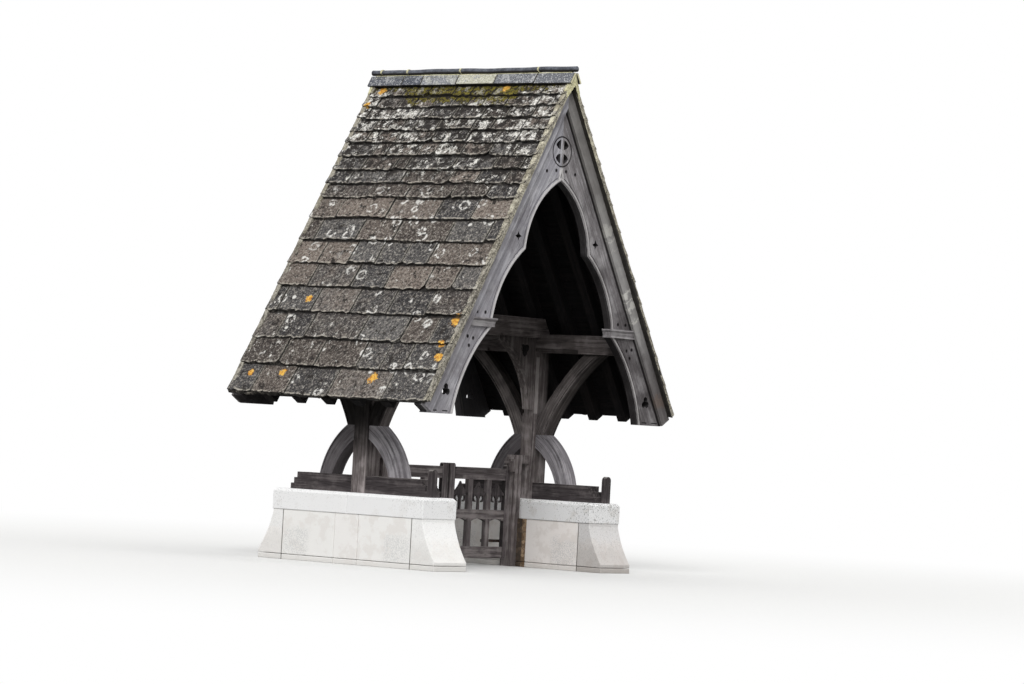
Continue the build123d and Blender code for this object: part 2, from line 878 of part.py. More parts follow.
def scroll_face(middle, hand):
    """A curl that springs from the spearhead and turns back towards the stem."""
    centre_x = middle + hand * scroll_offset
    centre_z = spear_bottom + scroll_seat - scroll_radius
    ring = Circle(scroll_radius) - Circle(scroll_radius - scroll_width)
    gap = Rectangle(scroll_radius, scroll_radius, align=(Align.MAX if hand > 0 else Align.MIN, Align.MAX))
    return Pos(centre_x, centre_z) * (ring - gap)


def tracery(low):
    high = low + bay_width
    middle = low + bay_width / 2
    spear = make_face([
        Line((low, spear_bottom), (high, spear_bottom)),
        Line((high, spear_bottom), (high, spear_shoulder)),
        SagittaArc((high, spear_shoulder), (middle, spear_tip), spear_hollow),
        SagittaArc((middle, spear_tip), (low, spear_shoulder), spear_hollow),
        Line((low, spear_shoulder), (low, spear_bottom)),
    ])
    stem = make_face(Polyline((middle - stem_half_width, mid_rail_top), (middle + stem_half_width, mid_rail_top),
                              (middle + stem_half_width, spear_shoulder), (middle - stem_half_width, spear_shoulder),
                              close=True))
    face = spear + stem + scroll_face(middle, -1) + scroll_face(middle, 1)
    face = face - Pos(middle, eyelet_height) * Circle(eyelet_radius)
    centre = gate_front + gate_thickness / 2
    return sheet_xz(face, centre - tracery_thickness / 2, centre + tracery_thickness / 2)


hinge_x = gate_post_face - hinge_gap
hinge_y = gate_back + hinge_back_offset


def hinge_strap(z):
    strap = block(gate_hanging_edge - strap_length, hinge_x, gate_back, gate_back + strap_thickness,
                  z - strap_height / 2, z + strap_height / 2)
    web = block(hinge_x - eye_radius, hinge_x, gate_back + strap_thickness, hinge_y, z - strap_height / 2,
                z + strap_height / 2)
    eye = Pos(hinge_x, hinge_y, z) * Cylinder(eye_radius, eye_height)
    bore = Pos(hinge_x, hinge_y, z) * Cylinder(pin_radius + pin_clearance, 2 * eye_height)
    return (strap + web + eye) - bore


def hinge_pin(z):
    low = z - eye_height / 2 - shank_height
    pin_length = shank_height + eye_height + pin_top_clearance
    pin = Pos(hinge_x, hinge_y, low + pin_length / 2) * Cylinder(pin_radius, pin_length)
    arm = block(hinge_x, gate_post_face, hinge_y - pin_radius, hinge_y + pin_radius, low,
                low + shank_height - shank_clearance)
    return pin + arm


both_sides("gate_frame", gate_leaf())
both_sides("gate_tracery", *[tracery(low) for low in bay_lows])
both_sides("gate_hinges", *[hinge_strap(z) for z in hinge_heights])
both_sides("hinge_pins", *[hinge_pin(z) for z in hinge_heights])
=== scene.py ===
import math
import random

import bmesh
import bpy
from mathutils import Euler, Matrix, Vector


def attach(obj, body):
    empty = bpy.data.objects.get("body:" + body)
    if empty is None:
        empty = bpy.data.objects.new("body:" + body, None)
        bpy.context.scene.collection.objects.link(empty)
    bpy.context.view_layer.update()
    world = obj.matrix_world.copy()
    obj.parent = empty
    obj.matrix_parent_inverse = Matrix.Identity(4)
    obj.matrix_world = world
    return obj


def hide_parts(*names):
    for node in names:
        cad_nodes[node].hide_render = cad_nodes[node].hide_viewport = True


# The looks of the timber lychgate: stone slabs on the roof, weathered oak in the frames, gables and
# gates, dressed stone in the low walls. Sizes are in metres, in the part's own frame: X across the
# passage, Y along it, Z up from the ground.

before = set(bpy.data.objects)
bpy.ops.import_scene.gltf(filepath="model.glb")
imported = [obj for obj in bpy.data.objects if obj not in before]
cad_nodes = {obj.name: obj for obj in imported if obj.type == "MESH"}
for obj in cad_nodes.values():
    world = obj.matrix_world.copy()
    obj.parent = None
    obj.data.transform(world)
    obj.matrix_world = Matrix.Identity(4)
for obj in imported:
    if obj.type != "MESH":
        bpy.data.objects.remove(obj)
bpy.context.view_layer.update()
scene = bpy.context.scene
collection = scene.collection

# Sizes of the part that the looks follow
quarter = math.pi / 2
roof_slope = math.radians(59.0)
eave_half_width = 2.385
eave_height = 1.9
apex_height = eave_height + eave_half_width * math.tan(roof_slope)
verge_half_length = 1.53
slab_layer = 0.057
slab_thickness = 0.034
slab_lap = 0.06
slab_gap = 0.005
board_thickness = 0.020
first_course_start = 0.040
lower_exposures = (0.395, 0.305, 8)
upper_exposures = (0.210, 0.160, 9)
wing_lower_half_width = 0.082
wing_gap = 0.024
wing_thickness = 0.026
wing_overhang = 0.020
ridge_half_length = 1.569
roll_radius = 0.034
roll_height = apex_height + 0.0367
gable_board_front = 1.415
gable_board_back = 1.315
verge_board_deep = 0.217
arch_point_height = 4.588
arch_foot_height = 1.795
capital_bottom = 2.816
capital_top = 2.919
roundel_height = apex_height - 0.933
roundel_radius = 0.181
peg_radius = 0.022
coping_bottom = 0.584
coping_top = 0.829
plinth_top = 0.062
frame_middle = 1.562
gate_post_chase = 0.18
end_block_start = 0.98
trefoil_middle = (1.227, 2.640)
trefoil_reach = 0.090
meeting_stile = 0.120
hanging_stile = 1.090
top_rail_foot = 1.036
middle_rail = (0.566, 0.674)
bottom_rail_top = 0.230


# Node graphs
def pick(sockets, key):
    """A socket by name, or by its place among those in use."""
    shown = [s for s in sockets if s.enabled]
    if isinstance(key, int):
        return shown[key]
    return next(s for s in shown if s.name == key)


class Value:
    """A socket of a node graph. Arithmetic on it adds the nodes that work it out."""

    def __init__(self, graph, socket):
        self.graph = graph
        self.socket = socket

    def output(self, name):
        """Another output of the same node."""
        return Value(self.graph, pick(self.socket.node.outputs, name))

    def maths(self, operation, *terms):
        return self.graph.node("ShaderNodeMath", {"operation": operation}, dict(enumerate(terms)))

    def __add__(self, other):
        return self.maths("ADD", self, other)

    __radd__ = __add__

    def __sub__(self, other):
        return self.maths("SUBTRACT", self, other)

    def __rsub__(self, other):
        return self.maths("SUBTRACT", other, self)

    def __mul__(self, other):
        return self.maths("MULTIPLY", self, other)

    __rmul__ = __mul__

    def __truediv__(self, other):
        return self.maths("DIVIDE", self, other)

    def __abs__(self):
        return self.maths("ABSOLUTE", self)

    def least(self, other):
        return self.maths("MINIMUM", self, other)

    def most(self, other):
        return self.maths("MAXIMUM", self, other)

    def root(self):
        return self.maths("SQRT", self)

    def arctangent(self):
        return self.maths("ARCTANGENT", self)


def radius_at(aside, above):
    """How far a place is from a middle that it lies this far aside of and above."""
    return (aside * aside + above * above).root()


class Graph:
    """A tree of nodes, to which node() adds one node of any type."""

    def __init__(self, tree):
        self.tree = tree

    def node(self, kind, settings={}, inputs={}, output=0):
        node = self.tree.nodes.new(kind)
        for name, setting in settings.items():
            setattr(node, name, setting)
        for key, value in inputs.items():
            self.feed(pick(node.inputs, key), value)
        return Value(self, pick(node.outputs, output))

    def feed(self, socket, value):
        if isinstance(value, Value):
            self.tree.links.new(value.socket, socket)
        else:
            socket.default_value = value

    def xyz(self, x, y, z):
        return self.node("ShaderNodeCombineXYZ", {}, {"X": x, "Y": y, "Z": z})

    def parts(self, vector):
        """The three parts of a vector."""
        split = self.node("ShaderNodeSeparateXYZ", {}, {"Vector": vector})
        return [split.output(axis) for axis in "XYZ"]

    def noise(self, at, size, detail=3.0, roughness=0.55, output="Fac"):
        """Soft noise whose lumps are about this size."""
        return self.node("ShaderNodeTexNoise", {}, {
            "Vector": at, "Scale": 1.0 / size, "Detail": detail, "Roughness": roughness}, output)

    def rise(self, value, low, high):
        """0 below low, 1 above high, and smooth between them."""
        return self.node("ShaderNodeMapRange", {"interpolation_type": "SMOOTHSTEP"}, {
            "Value": value, "From Min": low, "From Max": high})

    def fall(self, value, low, high):
        """1 below low, 0 above high, and smooth between them."""
        return 1.0 - self.rise(value, low, high)

    def past(self, value, level, soft=0.001):
        """0 before a level and 1 past it, with a soft edge of this width on both sides."""
        return self.rise(value, level - soft, level + soft)

    def band(self, value, low, high, soft):
        """1 between two levels, with soft edges of this width."""
        return self.past(value, low, soft) * self.fall(value, high - soft, high + soft)


# Materials
def light(colour):
    """What a socket holds for a colour that is given by its screen values, from 0 to 255."""
    if isinstance(colour, Value):
        return colour
    shares = [level / 255 for level in colour]
    return (*[s / 12.92 if s <= 0.04045 else ((s + 0.055) / 1.055) ** 2.4 for s in shares], 1.0)


class Finish(Graph):
    """A material: its colour, roughness and relief as node graphs on the object's own frame. Its colour
    starts as one mix, and each coat goes over it."""

    def __init__(self, name):
        self.material = bpy.data.materials.new(name)
        self.material.use_nodes = True
        super().__init__(self.material.node_tree)
        self.shader = self.tree.nodes["Principled BSDF"]
        self.place = self.node("ShaderNodeTexCoord", output="Object")
        self.x, self.y, self.z = self.parts(self.place)
        self.facing = self.parts(self.place.output("Normal"))
        self.colour = None

    def attribute(self, name):
        return self.node("ShaderNodeAttribute", {"attribute_name": name}, {}, "Fac")

    def mix(self, share, first, second):
        return self.node("ShaderNodeMix", {"data_type": "RGBA"}, {
            "Factor": share, "A": light(first), "B": light(second)})

    def coat(self, share, colour):
        """Lays this share of a colour over the colour so far."""
        self.colour = self.mix(share, self.colour, colour)

    def cells(self, at, size, output="Distance", feature="F1"):
        return self.node("ShaderNodeTexVoronoi", {"feature": feature}, {
            "Vector": at, "Scale": 1.0 / size}, output)

    def turned(self, turn, stretch):
        """Places measured along the grain and across it, in units of the stretch."""
        return self.node("ShaderNodeMapping", {"vector_type": "TEXTURE"}, {
            "Vector": self.place, "Rotation": Euler(turn), "Scale": stretch})

    def moved(self, at, offset):
        return self.node("ShaderNodeVectorMath", {"operation": "ADD"}, {0: at, 1: offset})

    def patches(self, size, detail, roughness, offset=None):
        """Noise on the object's own frame. An offset makes it differ from noise of the same size."""
        at = self.moved(self.place, offset) if offset else self.place
        return self.noise(at, size, detail, roughness)

    def warped(self, at, size, amount):
        """Places pushed about by noise, which makes straight patterns wander."""
        push = self.noise(at, size, 2.0, output="Color")
        return self.moved(at, self.node("ShaderNodeVectorMath", {"operation": "SCALE"}, {
            0: push, "Scale": amount}))

    def lichen(self, at, size, share):
        """How far each place is from the middle of its patch, in patch sizes, and which cells of this
        size have a patch."""
        wandering = self.warped(at, size * 0.35, size * 0.25)
        chance = self.cells(wandering, size, "Color")
        return self.cells(wandering, size), self.rise(chance, 0.98 - share, 1.02 - share)

    def underside(self):
        """1 on what faces the ground."""
        return self.fall(self.facing[2], -0.35, -0.05)

    def on_left(self):
        """1 on the left half of the part."""
        return self.fall(self.x, -0.01, 0.0)

    def finish(self, roughness, height, depth, **constants):
        bump = self.node("ShaderNodeBump", {}, {"Height": height, "Distance": depth})
        self.feed(self.shader.inputs["Base Color"], self.colour)
        self.feed(self.shader.inputs["Roughness"], roughness)
        self.feed(self.shader.inputs["Normal"], bump)
        for name, value in constants.items():
            self.shader.inputs[name.replace("_", " ")].default_value = value
        return self.material


# Finishes of the roof
def depth_in(finish):
    """How deep a place is below the roof's surface."""
    return ((apex_height - finish.z) / math.tan(roof_slope) - abs(finish.x)) * math.sin(roof_slope)


roof_shade = (30, 27, 25)
far_off = 9.0
orange_patches = (
    (-1.42, 1.12, 0.075), (-1.36, 0.79, 0.05), (-1.41, 0.61, 0.055), (-0.58, 0.30, 0.06),
    (1.33, 4.40, 0.055), (1.45, 4.19, 0.05), (1.29, 0.30, 0.04), (0.81, 0.32, 0.045),
    (0.93, 1.36, 0.05), (-0.59, 4.42, 0.05),
)


def orange_lichen(stone, grit, lumps):
    """Orange patches on the left slope, each with its place along the eaves, up the roof, and its size."""
    along = (stone.z - eave_height) / math.sin(roof_slope)
    nearest = far_off
    for y, up, size in orange_patches:
        nearest = (radius_at(stone.y - y, along - up) / size).least(nearest)
    return stone.fall(nearest + grit * 1.6 + lumps * 2.2, 2.80, 2.95) * stone.on_left()


def slab_stone():
    stone = Finish("slab_stone")
    tone, tint, to_nose, from_nose, side = [
        stone.attribute(name) for name in ("tone", "tint", "to_nose", "from_nose", "slab_side")]
    high = stone.rise(stone.z, 4.1, 5.0)
    lower = stone.fall(stone.z, 4.2, 4.7)
    grit = stone.patches(0.016, 5.0, 0.75)
    grain = stone.patches(0.032, 4.0, 0.72, (5.0, 1.0, 7.0))
    lumps = stone.patches(0.045, 4.0, 0.65, (3.0, 6.0, 1.0))
    crust = stone.patches(0.11, 5.0, 0.72, (7.0, 2.0, 5.0))
    blotch = stone.patches(0.15, 4.0, 0.6)
    broad = stone.patches(0.45, 2.0, 0.5, (4.0, 9.0, 3.0))
    cool = stone.mix(tone, (36, 35, 40), (98, 96, 95))
    warm = stone.mix(tone, (66, 58, 54), (128, 116, 107))
    stone.colour = stone.mix(stone.rise(tint + blotch * 0.4, 0.50, 0.80), cool, warm)
    stone.coat(stone.rise(lumps, 0.48, 0.64) * 0.40, (128, 122, 114))
    stone.coat(stone.fall(lumps, 0.36, 0.48) * 0.40, (44, 40, 38))
    speck = grit * 0.4 + grain * 0.6
    stone.coat(stone.rise(speck, 0.53, 0.58) * 0.70, (176, 170, 161))
    stone.coat(stone.fall(speck, 0.43, 0.48) * 0.78, (26, 23, 22))
    stone.coat(stone.rise(crust + high * 0.12, 0.57, 0.61) * 0.94, (34, 29, 26))
    # Pale edges at the noses: wear, with a painted highlight; pale fill beside the joints
    worn_and_lit_nose = stone.band(from_nose, 0.000, 0.022, 0.006) * stone.rise(lumps, 0.45, 0.55)
    beside = stone.fall(side + grain * 0.05, 0.035, 0.055) * stone.rise(grit, 0.44, 0.54)
    stone.coat((worn_and_lit_nose * 0.65).most(beside * 0.6), (184, 178, 166))
    # White lichen: ragged clusters towards the ridge, few in the middle, and rings lower down
    cluster = stone.patches(0.12, 6.0, 0.80, (9.0, 5.0, 2.0)) + (broad - 0.5) * 0.22 + high * 0.10
    fleck = stone.rise(cluster + stone.fall(stone.z, 2.6, 3.2) * 0.02, 0.630, 0.655)
    stone.coat(fleck * 0.92, stone.mix(stone.rise(grain, 0.40, 0.60), (150, 146, 138), (248, 246, 240)))
    break_up = stone.rise(stone.patches(0.05, 3.0, 0.6, (1.0, 4.0, 2.0)), 0.44, 0.54)
    away, grown = stone.lichen(stone.place, 0.23, 0.50)
    ring = grown * stone.band(away, 0.21, 0.33, 0.035) * break_up * lower
    away, grown = stone.lichen(stone.moved(stone.place, (2.0, 0.6, 1.1)), 0.12, 0.16)
    spot = grown * stone.fall(away + grit * 0.3, 0.32, 0.42) * lower
    stone.coat(ring.most(spot) * 0.92, (222, 220, 215))
    # Moss under the ridge
    along_ridge = stone.band(stone.y + blotch * 0.4, -0.60, 1.10, 0.08)
    moss = stone.rise(stone.z + crust * 0.4 + blotch * 0.2 + along_ridge * 0.17, 5.96, 6.00)
    green = stone.mix(stone.rise(grit, 0.42, 0.60), (74, 70, 20), (134, 122, 38))
    tufts = stone.rise(lumps * 0.6 + grain * 0.4, 0.46, 0.53)
    stone.coat(moss * (1.0 - fleck * 0.35), stone.mix(tufts, (36, 28, 14), green))
    # Crumbs of mortar on the slabs at the front verge
    crumbs = stone.fall(stone.y - grit * 0.05 - blotch * 0.05, -1.535, -1.515)
    stone.coat(crumbs * 0.8, stone.mix(stone.rise(grit, 0.4, 0.6), (90, 84, 74), (196, 190, 172)))
    orange = stone.mix(stone.rise(grain, 0.38, 0.62), (188, 118, 34), (240, 196, 92))
    stone.coat(orange_lichen(stone, grit, lumps), orange)
    # Shade in the joints, under the noses and on the undersides, but not on the ends at the verges
    uneven = (lumps - 0.5) * 0.04
    joint = stone.fall(side + uneven, 0.006, 0.015) * stone.rise(crust, 0.30, 0.42)
    below = stone.fall(to_nose + uneven, 0.002, 0.020)
    down = stone.fall(stone.facing[2], -0.5, 0.25) * stone.rise(blotch + grit * 0.4, 0.50, 0.66)
    at_end = stone.rise(abs(stone.facing[1]), 0.5, 0.8) * stone.rise(abs(stone.y), 1.45, 1.5)
    stone.coat(joint.most(below).most(down) * (1.0 - at_end) * 0.9, roof_shade)
    relief = blotch * 0.3 + lumps * 0.4 + grit * 0.5 + fleck * 0.15 + ring * 0.15
    return stone.finish(0.95, relief, 0.016)


def verge_mortar():
    bed = Finish("verge_mortar")
    grit = bed.patches(0.018, 5.0, 0.72)
    blotch = bed.patches(0.09, 4.0, 0.6)
    high = bed.rise(bed.z, 3.0, 5.2)
    shade = bed.mix(high, (92, 87, 79), (156, 149, 130))
    pale = bed.mix(high * bed.fall(bed.y, -1.0, 0.0), (164, 159, 147), (216, 210, 188))
    bed.colour = bed.mix(bed.rise(blotch, 0.38, 0.60), shade, pale)
    bed.coat(bed.fall(grit, 0.38, 0.50) * 0.85, (62, 57, 50))
    bed.coat(bed.rise(grit, 0.58, 0.66) * 0.7, (226, 223, 210))
    # On the right slope the lower half of the mortar lies back in shade, except near the top
    depth = depth_in(bed) + (grit - 0.5) * 0.02
    recess = bed.rise(depth, high * 0.05 + 0.022, high * 0.05 + 0.030) * bed.past(bed.x, 0.0, 0.01)
    bed.coat(recess.most(bed.underside()) * 0.95, roof_shade)
    return bed.finish(0.95, grit * 0.6 + blotch * 0.4, 0.010)


def ridge_mortar():
    bed = Finish("ridge_mortar")
    grit = bed.patches(0.018, 5.0, 0.7)
    bed.colour = bed.mix(bed.rise(grit, 0.40, 0.60), (178, 172, 132), (226, 222, 186))
    bed.coat(bed.underside() * 0.95, roof_shade)
    return bed.finish(0.95, grit, 0.008)


def ridge_stone():
    stone = Finish("ridge_stone")
    tone = stone.attribute("tone")
    tint = stone.attribute("tint")
    grit = stone.patches(0.018, 6.0, 0.72)
    blotch = stone.patches(0.09, 4.0, 0.6)
    crust = stone.rise(blotch + tint * 0.20, 0.56, 0.62)
    stone.colour = stone.mix(tone, (72, 76, 86), (142, 144, 148))
    stone.coat(crust * 0.8, stone.mix(tint, (158, 160, 166), (196, 194, 170)))
    stone.coat(stone.rise(grit + tone * 0.03, 0.56, 0.62) * 0.85, (220, 220, 218))
    stone.coat(stone.fall(grit, 0.38, 0.46) * 0.7, (58, 58, 62))
    joint = stone.fall(stone.attribute("joint_distance") + (grit - 0.5) * 0.03, 0.004, 0.012)
    stone.coat(joint * 0.85, (56, 54, 52))
    stone.coat(stone.underside() * 0.95, roof_shade)
    mortared = stone.rise(abs(stone.facing[1]), 0.5, 0.8) * stone.rise(abs(stone.y), 1.55, 1.56)
    stone.coat(mortared, (214, 209, 176))
    return stone.finish(0.8, grit * 0.5 + blotch * 0.5, 0.008)


def ridge_roll_lead():
    roll = Finish("ridge_roll_lead")
    blotch = roll.patches(0.07, 4.0, 0.6)
    grit = roll.patches(0.014, 5.0, 0.65)
    roll.colour = roll.mix(roll.rise(blotch, 0.35, 0.7), (62, 65, 74), (100, 104, 114))
    roll.coat(roll.rise(grit, 0.58, 0.68) * 0.6, (160, 162, 168))
    roll.coat(roll.fall(roll.z, roll_height - 0.020, roll_height - 0.008) * 0.8, roof_shade)
    roll.coat(roll.underside() * 0.9, roof_shade)
    return roll.finish(0.6, grit, 0.003)


# Oak. The grain runs along X, along Y, upright, or up either slope
ways = {
    "across": (0.0, 0.0, 0.0),
    "along": (0.0, 0.0, quarter),
    "upright": (0.0, -quarter, 0.0),
    "right_slope": (0.0, roof_slope, 0.0),
    "left_slope": (0.0, -roof_slope, 0.0),
}
grain_stretch = (0.60, 0.024, 0.024)
deep_shade = (26, 23, 24)

# Each oak in a dark, a middle and a light tone
pale_silver_oak = ((140, 138, 144), (172, 171, 178), (192, 191, 196))
grey_silver_oak = ((114, 110, 111), (142, 138, 140), (166, 163, 164))
verge_oak = ((124, 121, 121), (150, 148, 147), (176, 174, 172))
frame_oak = ((86, 79, 78), (124, 116, 115), (160, 152, 151))
upper_brace_oak = ((74, 68, 67), (106, 100, 99), (134, 127, 125))
lower_brace_oak = ((112, 108, 112), (146, 142, 146), (172, 168, 172))
# The oak inside the roof is near black: dark aged wood, with painted shade for the dark roof space
shaded_inner_oak = ((14, 13, 14), (22, 20, 22), (32, 28, 28))
sill_oak = ((50, 45, 46), (72, 67, 68), (98, 92, 92))
gate_oak = ((78, 72, 72), (112, 105, 106), (146, 139, 138))


def oak(name, tones, grain, cracks, weather_and_light=None):
    """Weathered oak. The grain gives places along and across it, and the last argument adds what the
    weather did, with painted light and shade.
    """
    dark, middle, pale = tones
    wood = Finish(name)
    at = grain(wood)
    wood.fine = wood.noise(at, 0.35, 5.0, 0.62)
    broad = wood.noise(at, 1.6, 3.0, 0.55)
    cloud = wood.patches(0.24, 4.0, 0.6)
    split = wood.noise(wood.moved(at, (5.0, 3.0, 8.0)), 0.9, 2.0, 0.5)
    crack = wood.fall(abs(split - 0.5), 0.004, 0.020)
    crack = crack * wood.rise(wood.patches(0.3, 1.0, 0.55), 0.45, 0.6) * cracks
    wood.colour = wood.mix(wood.rise(wood.fine * 0.65 + broad * 0.35, 0.38, 0.58), dark, middle)
    wood.coat(wood.rise(cloud * 0.5 + broad * 0.5, 0.46, 0.62), pale)
    wood.coat(crack * 0.8, (24, 20, 18))
    if weather_and_light:
        weather_and_light(wood)
    relief = wood.fine * 0.55 + broad * 0.3 - crack * 0.8
    return wood.finish(0.85, relief, 0.006, Specular_IOR_Level=0.2)


def straight_grain(way):
    return lambda wood: wood.turned(ways[way], grain_stretch)


def curved_grain(middle):
    """Grain that follows a curved brace, as rings round the middle of its curve."""
    def places(wood):
        ring = radius_at(abs(wood.y) - middle[0], wood.z - middle[1])
        return wood.xyz(wood.z / grain_stretch[0], ring / grain_stretch[1], wood.x / grain_stretch[2])
    return places


def gate_grain(wood):
    """Upright grain in the stiles and muntins, level grain in the rails."""
    level = wood.turned(ways["across"], grain_stretch)
    upright = wood.turned(ways["upright"], grain_stretch)
    between = wood.band(abs(wood.x), meeting_stile, hanging_stile, 0.001)
    top = wood.past(wood.z, top_rail_foot)
    middle = wood.band(wood.z, *middle_rail, 0.001)
    bottom = 1.0 - wood.past(wood.z, bottom_rail_top)
    rail = between * top.most(middle).most(bottom)
    return wood.node("ShaderNodeMix", {"data_type": "VECTOR"}, {"Factor": rail, "A": upright, "B": level})


def circle_centre(a, b, c):
    """The middle of the circle through three points."""
    d = 2 * (a[0] * (b[1] - c[1]) + b[0] * (c[1] - a[1]) + c[0] * (a[1] - b[1]))
    squares = [p[0] ** 2 + p[1] ** 2 for p in (a, b, c)]
    u = (squares[0] * (b[1] - c[1]) + squares[1] * (c[1] - a[1]) + squares[2] * (a[1] - b[1])) / d
    v = (squares[0] * (c[0] - b[0]) + squares[1] * (a[0] - c[0]) + squares[2] * (b[0] - a[0])) / d
    return (u, v)


# Arcs of the gable arch and of the braces: three points on each
upper_arch = ((0.0, arch_point_height), (0.406, 4.249), (0.590, 3.752))
middle_arch = ((0.590, 3.752), (0.940, 3.387), (1.130, capital_top))
lower_arch = ((1.130, capital_bottom), (1.531, 2.359), (1.760, arch_foot_height))
upper_brace_arc = ((0.235, 1.612), (0.552, 2.159), (1.030, 2.616))
lower_brace_arc = ((0.235, 1.612), (0.490, 1.346), (0.620, 1.029))


# Pegs of the arch boards: how far from the middle, and how high
def across_at(band, height):
    return (apex_height - height) / math.tan(roof_slope) - band


peg_places = [(0.270, apex_height - 1.179), (0.092, apex_height - 1.159)]
for band, height in ((0.472, capital_top + 0.061), (0.322, capital_top + 0.061),
                     (0.456, capital_bottom - 0.142), (0.347, capital_bottom - 0.125),
                     (0.440, capital_bottom - 0.229)):
    peg_places.append((across_at(band, height), height))


def outside_arc(wood, arc):
    """How far a place on the gable is outside the circle of an arc."""
    centre = circle_centre(*arc)
    return radius_at(abs(wood.x) - centre[0], wood.z - centre[1]) - math.dist(centre, arc[0])


def gable_wear_and_shade(streak, stain, seam_shade, bead_share):
    """Streaks, a stain that gathers towards the foot, a pale bead along the arch, and painted shade in the
    openings, grooves, ring and peg holes. The third argument sets how dark the painted shadow line against
    the verge board is."""
    def weather_and_light(wood):
        fine = wood.fine
        front = abs(wood.y)
        above = outside_arc(wood, upper_arch).least(outside_arc(wood, middle_arch))
        low = wood.fall(wood.z, capital_bottom + 0.05, capital_bottom + 0.051)
        from_edge = above * (1.0 - low) + outside_arc(wood, lower_arch) * low
        cloud = wood.patches(0.30, 4.0, 0.6)
        wood.coat(wood.rise(cloud + fine * 0.5, 0.72, 0.95) * 0.55, streak)
        wood.coat(wood.rise(fine, 0.56, 0.62) * 0.55, streak)
        wood.coat(wood.fall(fine, 0.38, 0.43) * 0.35, (222, 220, 224))
        wood.coat(wood.fall(wood.z, 2.9, 4.7) * wood.rise(cloud, 0.25, 0.6) * 0.65, stain)
        proud = wood.band(front, gable_board_front + 0.005, gable_board_front + 0.013, 0.002)
        bead = wood.band(from_edge, 0.014, 0.038, 0.003).most(proud)
        above_point = wood.band(wood.z, arch_point_height + 0.012, arch_point_height + 0.157, 0.005)
        fork = wood.band(abs(wood.x), 0.011, 0.033, 0.004) * above_point
        wood.coat((bead * bead_share).most(fork * 0.8), (212, 209, 208))
        # Painted shadow along the verge board, and painted shade in the ring groove, the cut grooves, the
        # openings and the peg holes
        from_roundel = radius_at(wood.x, wood.z - roundel_height)
        ring = wood.band(from_roundel, roundel_radius - 0.015, roundel_radius + 0.003, 0.004)
        verge_shadow_line = wood.band(depth_in(wood), verge_board_deep - 0.003, verge_board_deep + 0.010, 0.003)
        from_peg = far_off
        for across, up in peg_places:
            from_peg = radius_at(abs(wood.x) - across, wood.z - up).least(from_peg)
        peg = wood.fall(from_peg, peg_radius - 0.005, peg_radius + 0.005)
        cut = wood.band(gable_board_front - front, 0.003, 0.020, 0.001)
        hole = wood.rise(gable_board_front - front, 0.004, 0.030)
        line = ring.most(verge_shadow_line * seam_shade).most(cut).most(hole).most(peg)
        wood.coat(line * 0.88, deep_shade)
    return weather_and_light


def verge_wear_and_shade(wood):
    """Pale marks across the board where the slabs above drip, a stain near its foot, and painted shade on
    its sides behind its front face.
    """
    up = eave_half_width - abs(wood.x)
    along = up * math.cos(roof_slope) + (wood.z - eave_height) * math.sin(roof_slope)
    cloud = wood.patches(0.12, 4.0, 0.6)
    mark = wood.node("ShaderNodeTexNoise", {"noise_dimensions": "1D"}, {
        "W": along + wood.fine * 0.10 + cloud * 0.3, "Scale": 2.4, "Detail": 4.0, "Roughness": 0.65})
    middle = wood.band(wood.z, 2.9, 4.2, 0.25)
    wood.coat(wood.rise(cloud, 0.46, 0.62) * 0.6, (92, 88, 88))
    wood.coat(middle * 0.45, (176, 174, 172))
    wood.coat(wood.rise(mark, 0.54, 0.60) * middle * 0.8, (216, 214, 208))
    wood.coat(wood.fall(along + cloud * 0.6, 0.6, 1.8) * 0.8, (88, 83, 83))
    wood.coat(wood.band(along + cloud * 0.4, 0.46, 0.58, 0.06) * 0.25, (132, 104, 82))
    wood.coat(wood.rise(wood.z + cloud * 0.6, 3.8, 5.0) * 0.7, (122, 119, 116))
    # Painted shade on the board's sides, behind its front face
    hidden = wood.fall(abs(wood.y), gable_board_front + 0.018, gable_board_front + 0.026)
    wood.coat(hidden * 0.9, deep_shade)


def sheltered_and_shaded(share):
    """Oak under the roof: brown and dark, the more so the higher it is, partly its own colour and partly
    painted shade under the roof, and darkest outside the frames, where painted shade stands for the shade
    of the eaves. Its faces towards the gables get a little painted shade and its chamfers are rubbed pale."""
    def weather_and_light(wood):
        facing_out = abs(wood.facing[0])
        facing_gable = abs(wood.facing[1])
        chamfer = wood.band(facing_out, 0.55, 0.85, 0.03) * wood.band(facing_gable, 0.55, 0.85, 0.03)
        wood.coat(chamfer * 0.5, (176, 170, 168))
        # Painted shade on the faces towards the gables
        wood.coat(wood.rise(facing_gable, 0.6, 0.9) * 0.25, (70, 64, 62))
        # Darker the higher it is: the oak's own brown under the roof, with painted shade
        wood.coat(wood.rise(wood.z, 1.9, 2.75) * share, (24, 20, 18))
        # Painted shade of the eaves outside the frames
        outside = wood.rise(abs(wood.x), frame_middle + 0.05, frame_middle + 0.09)
        wood.coat(outside * wood.rise(wood.z, 1.1, 1.7) * 0.9, (18, 16, 15))
    return weather_and_light


def bracket_shelter_and_shade(wood):
    """Oak under the roof with its painted shade, and painted shade inside the bracket's trefoil."""
    sheltered_and_shaded(0.6)(wood)
    from_trefoil = radius_at(abs(wood.x) - trefoil_middle[0], wood.z - trefoil_middle[1])
    near = wood.fall(from_trefoil, trefoil_reach, trefoil_reach + 0.004)
    wood.coat(near * wood.fall(abs(wood.facing[1]), 0.3, 0.6) * 0.95, (10, 9, 9))


def back_brace_shade_and_weather(wood):
    """The braces behind the posts are darker than those at the front: painted shade, and weathering."""
    wood.coat(wood.rise(wood.y, -0.1, 0.1) * 0.7, (84, 79, 80))


def sky_lit_and_bleached_top(wood):
    """Faces that look up are lighter: painted sky light, and bleaching by the rain."""
    wood.coat(wood.rise(wood.facing[2], 0.5, 0.8) * 0.7, (164, 160, 156))


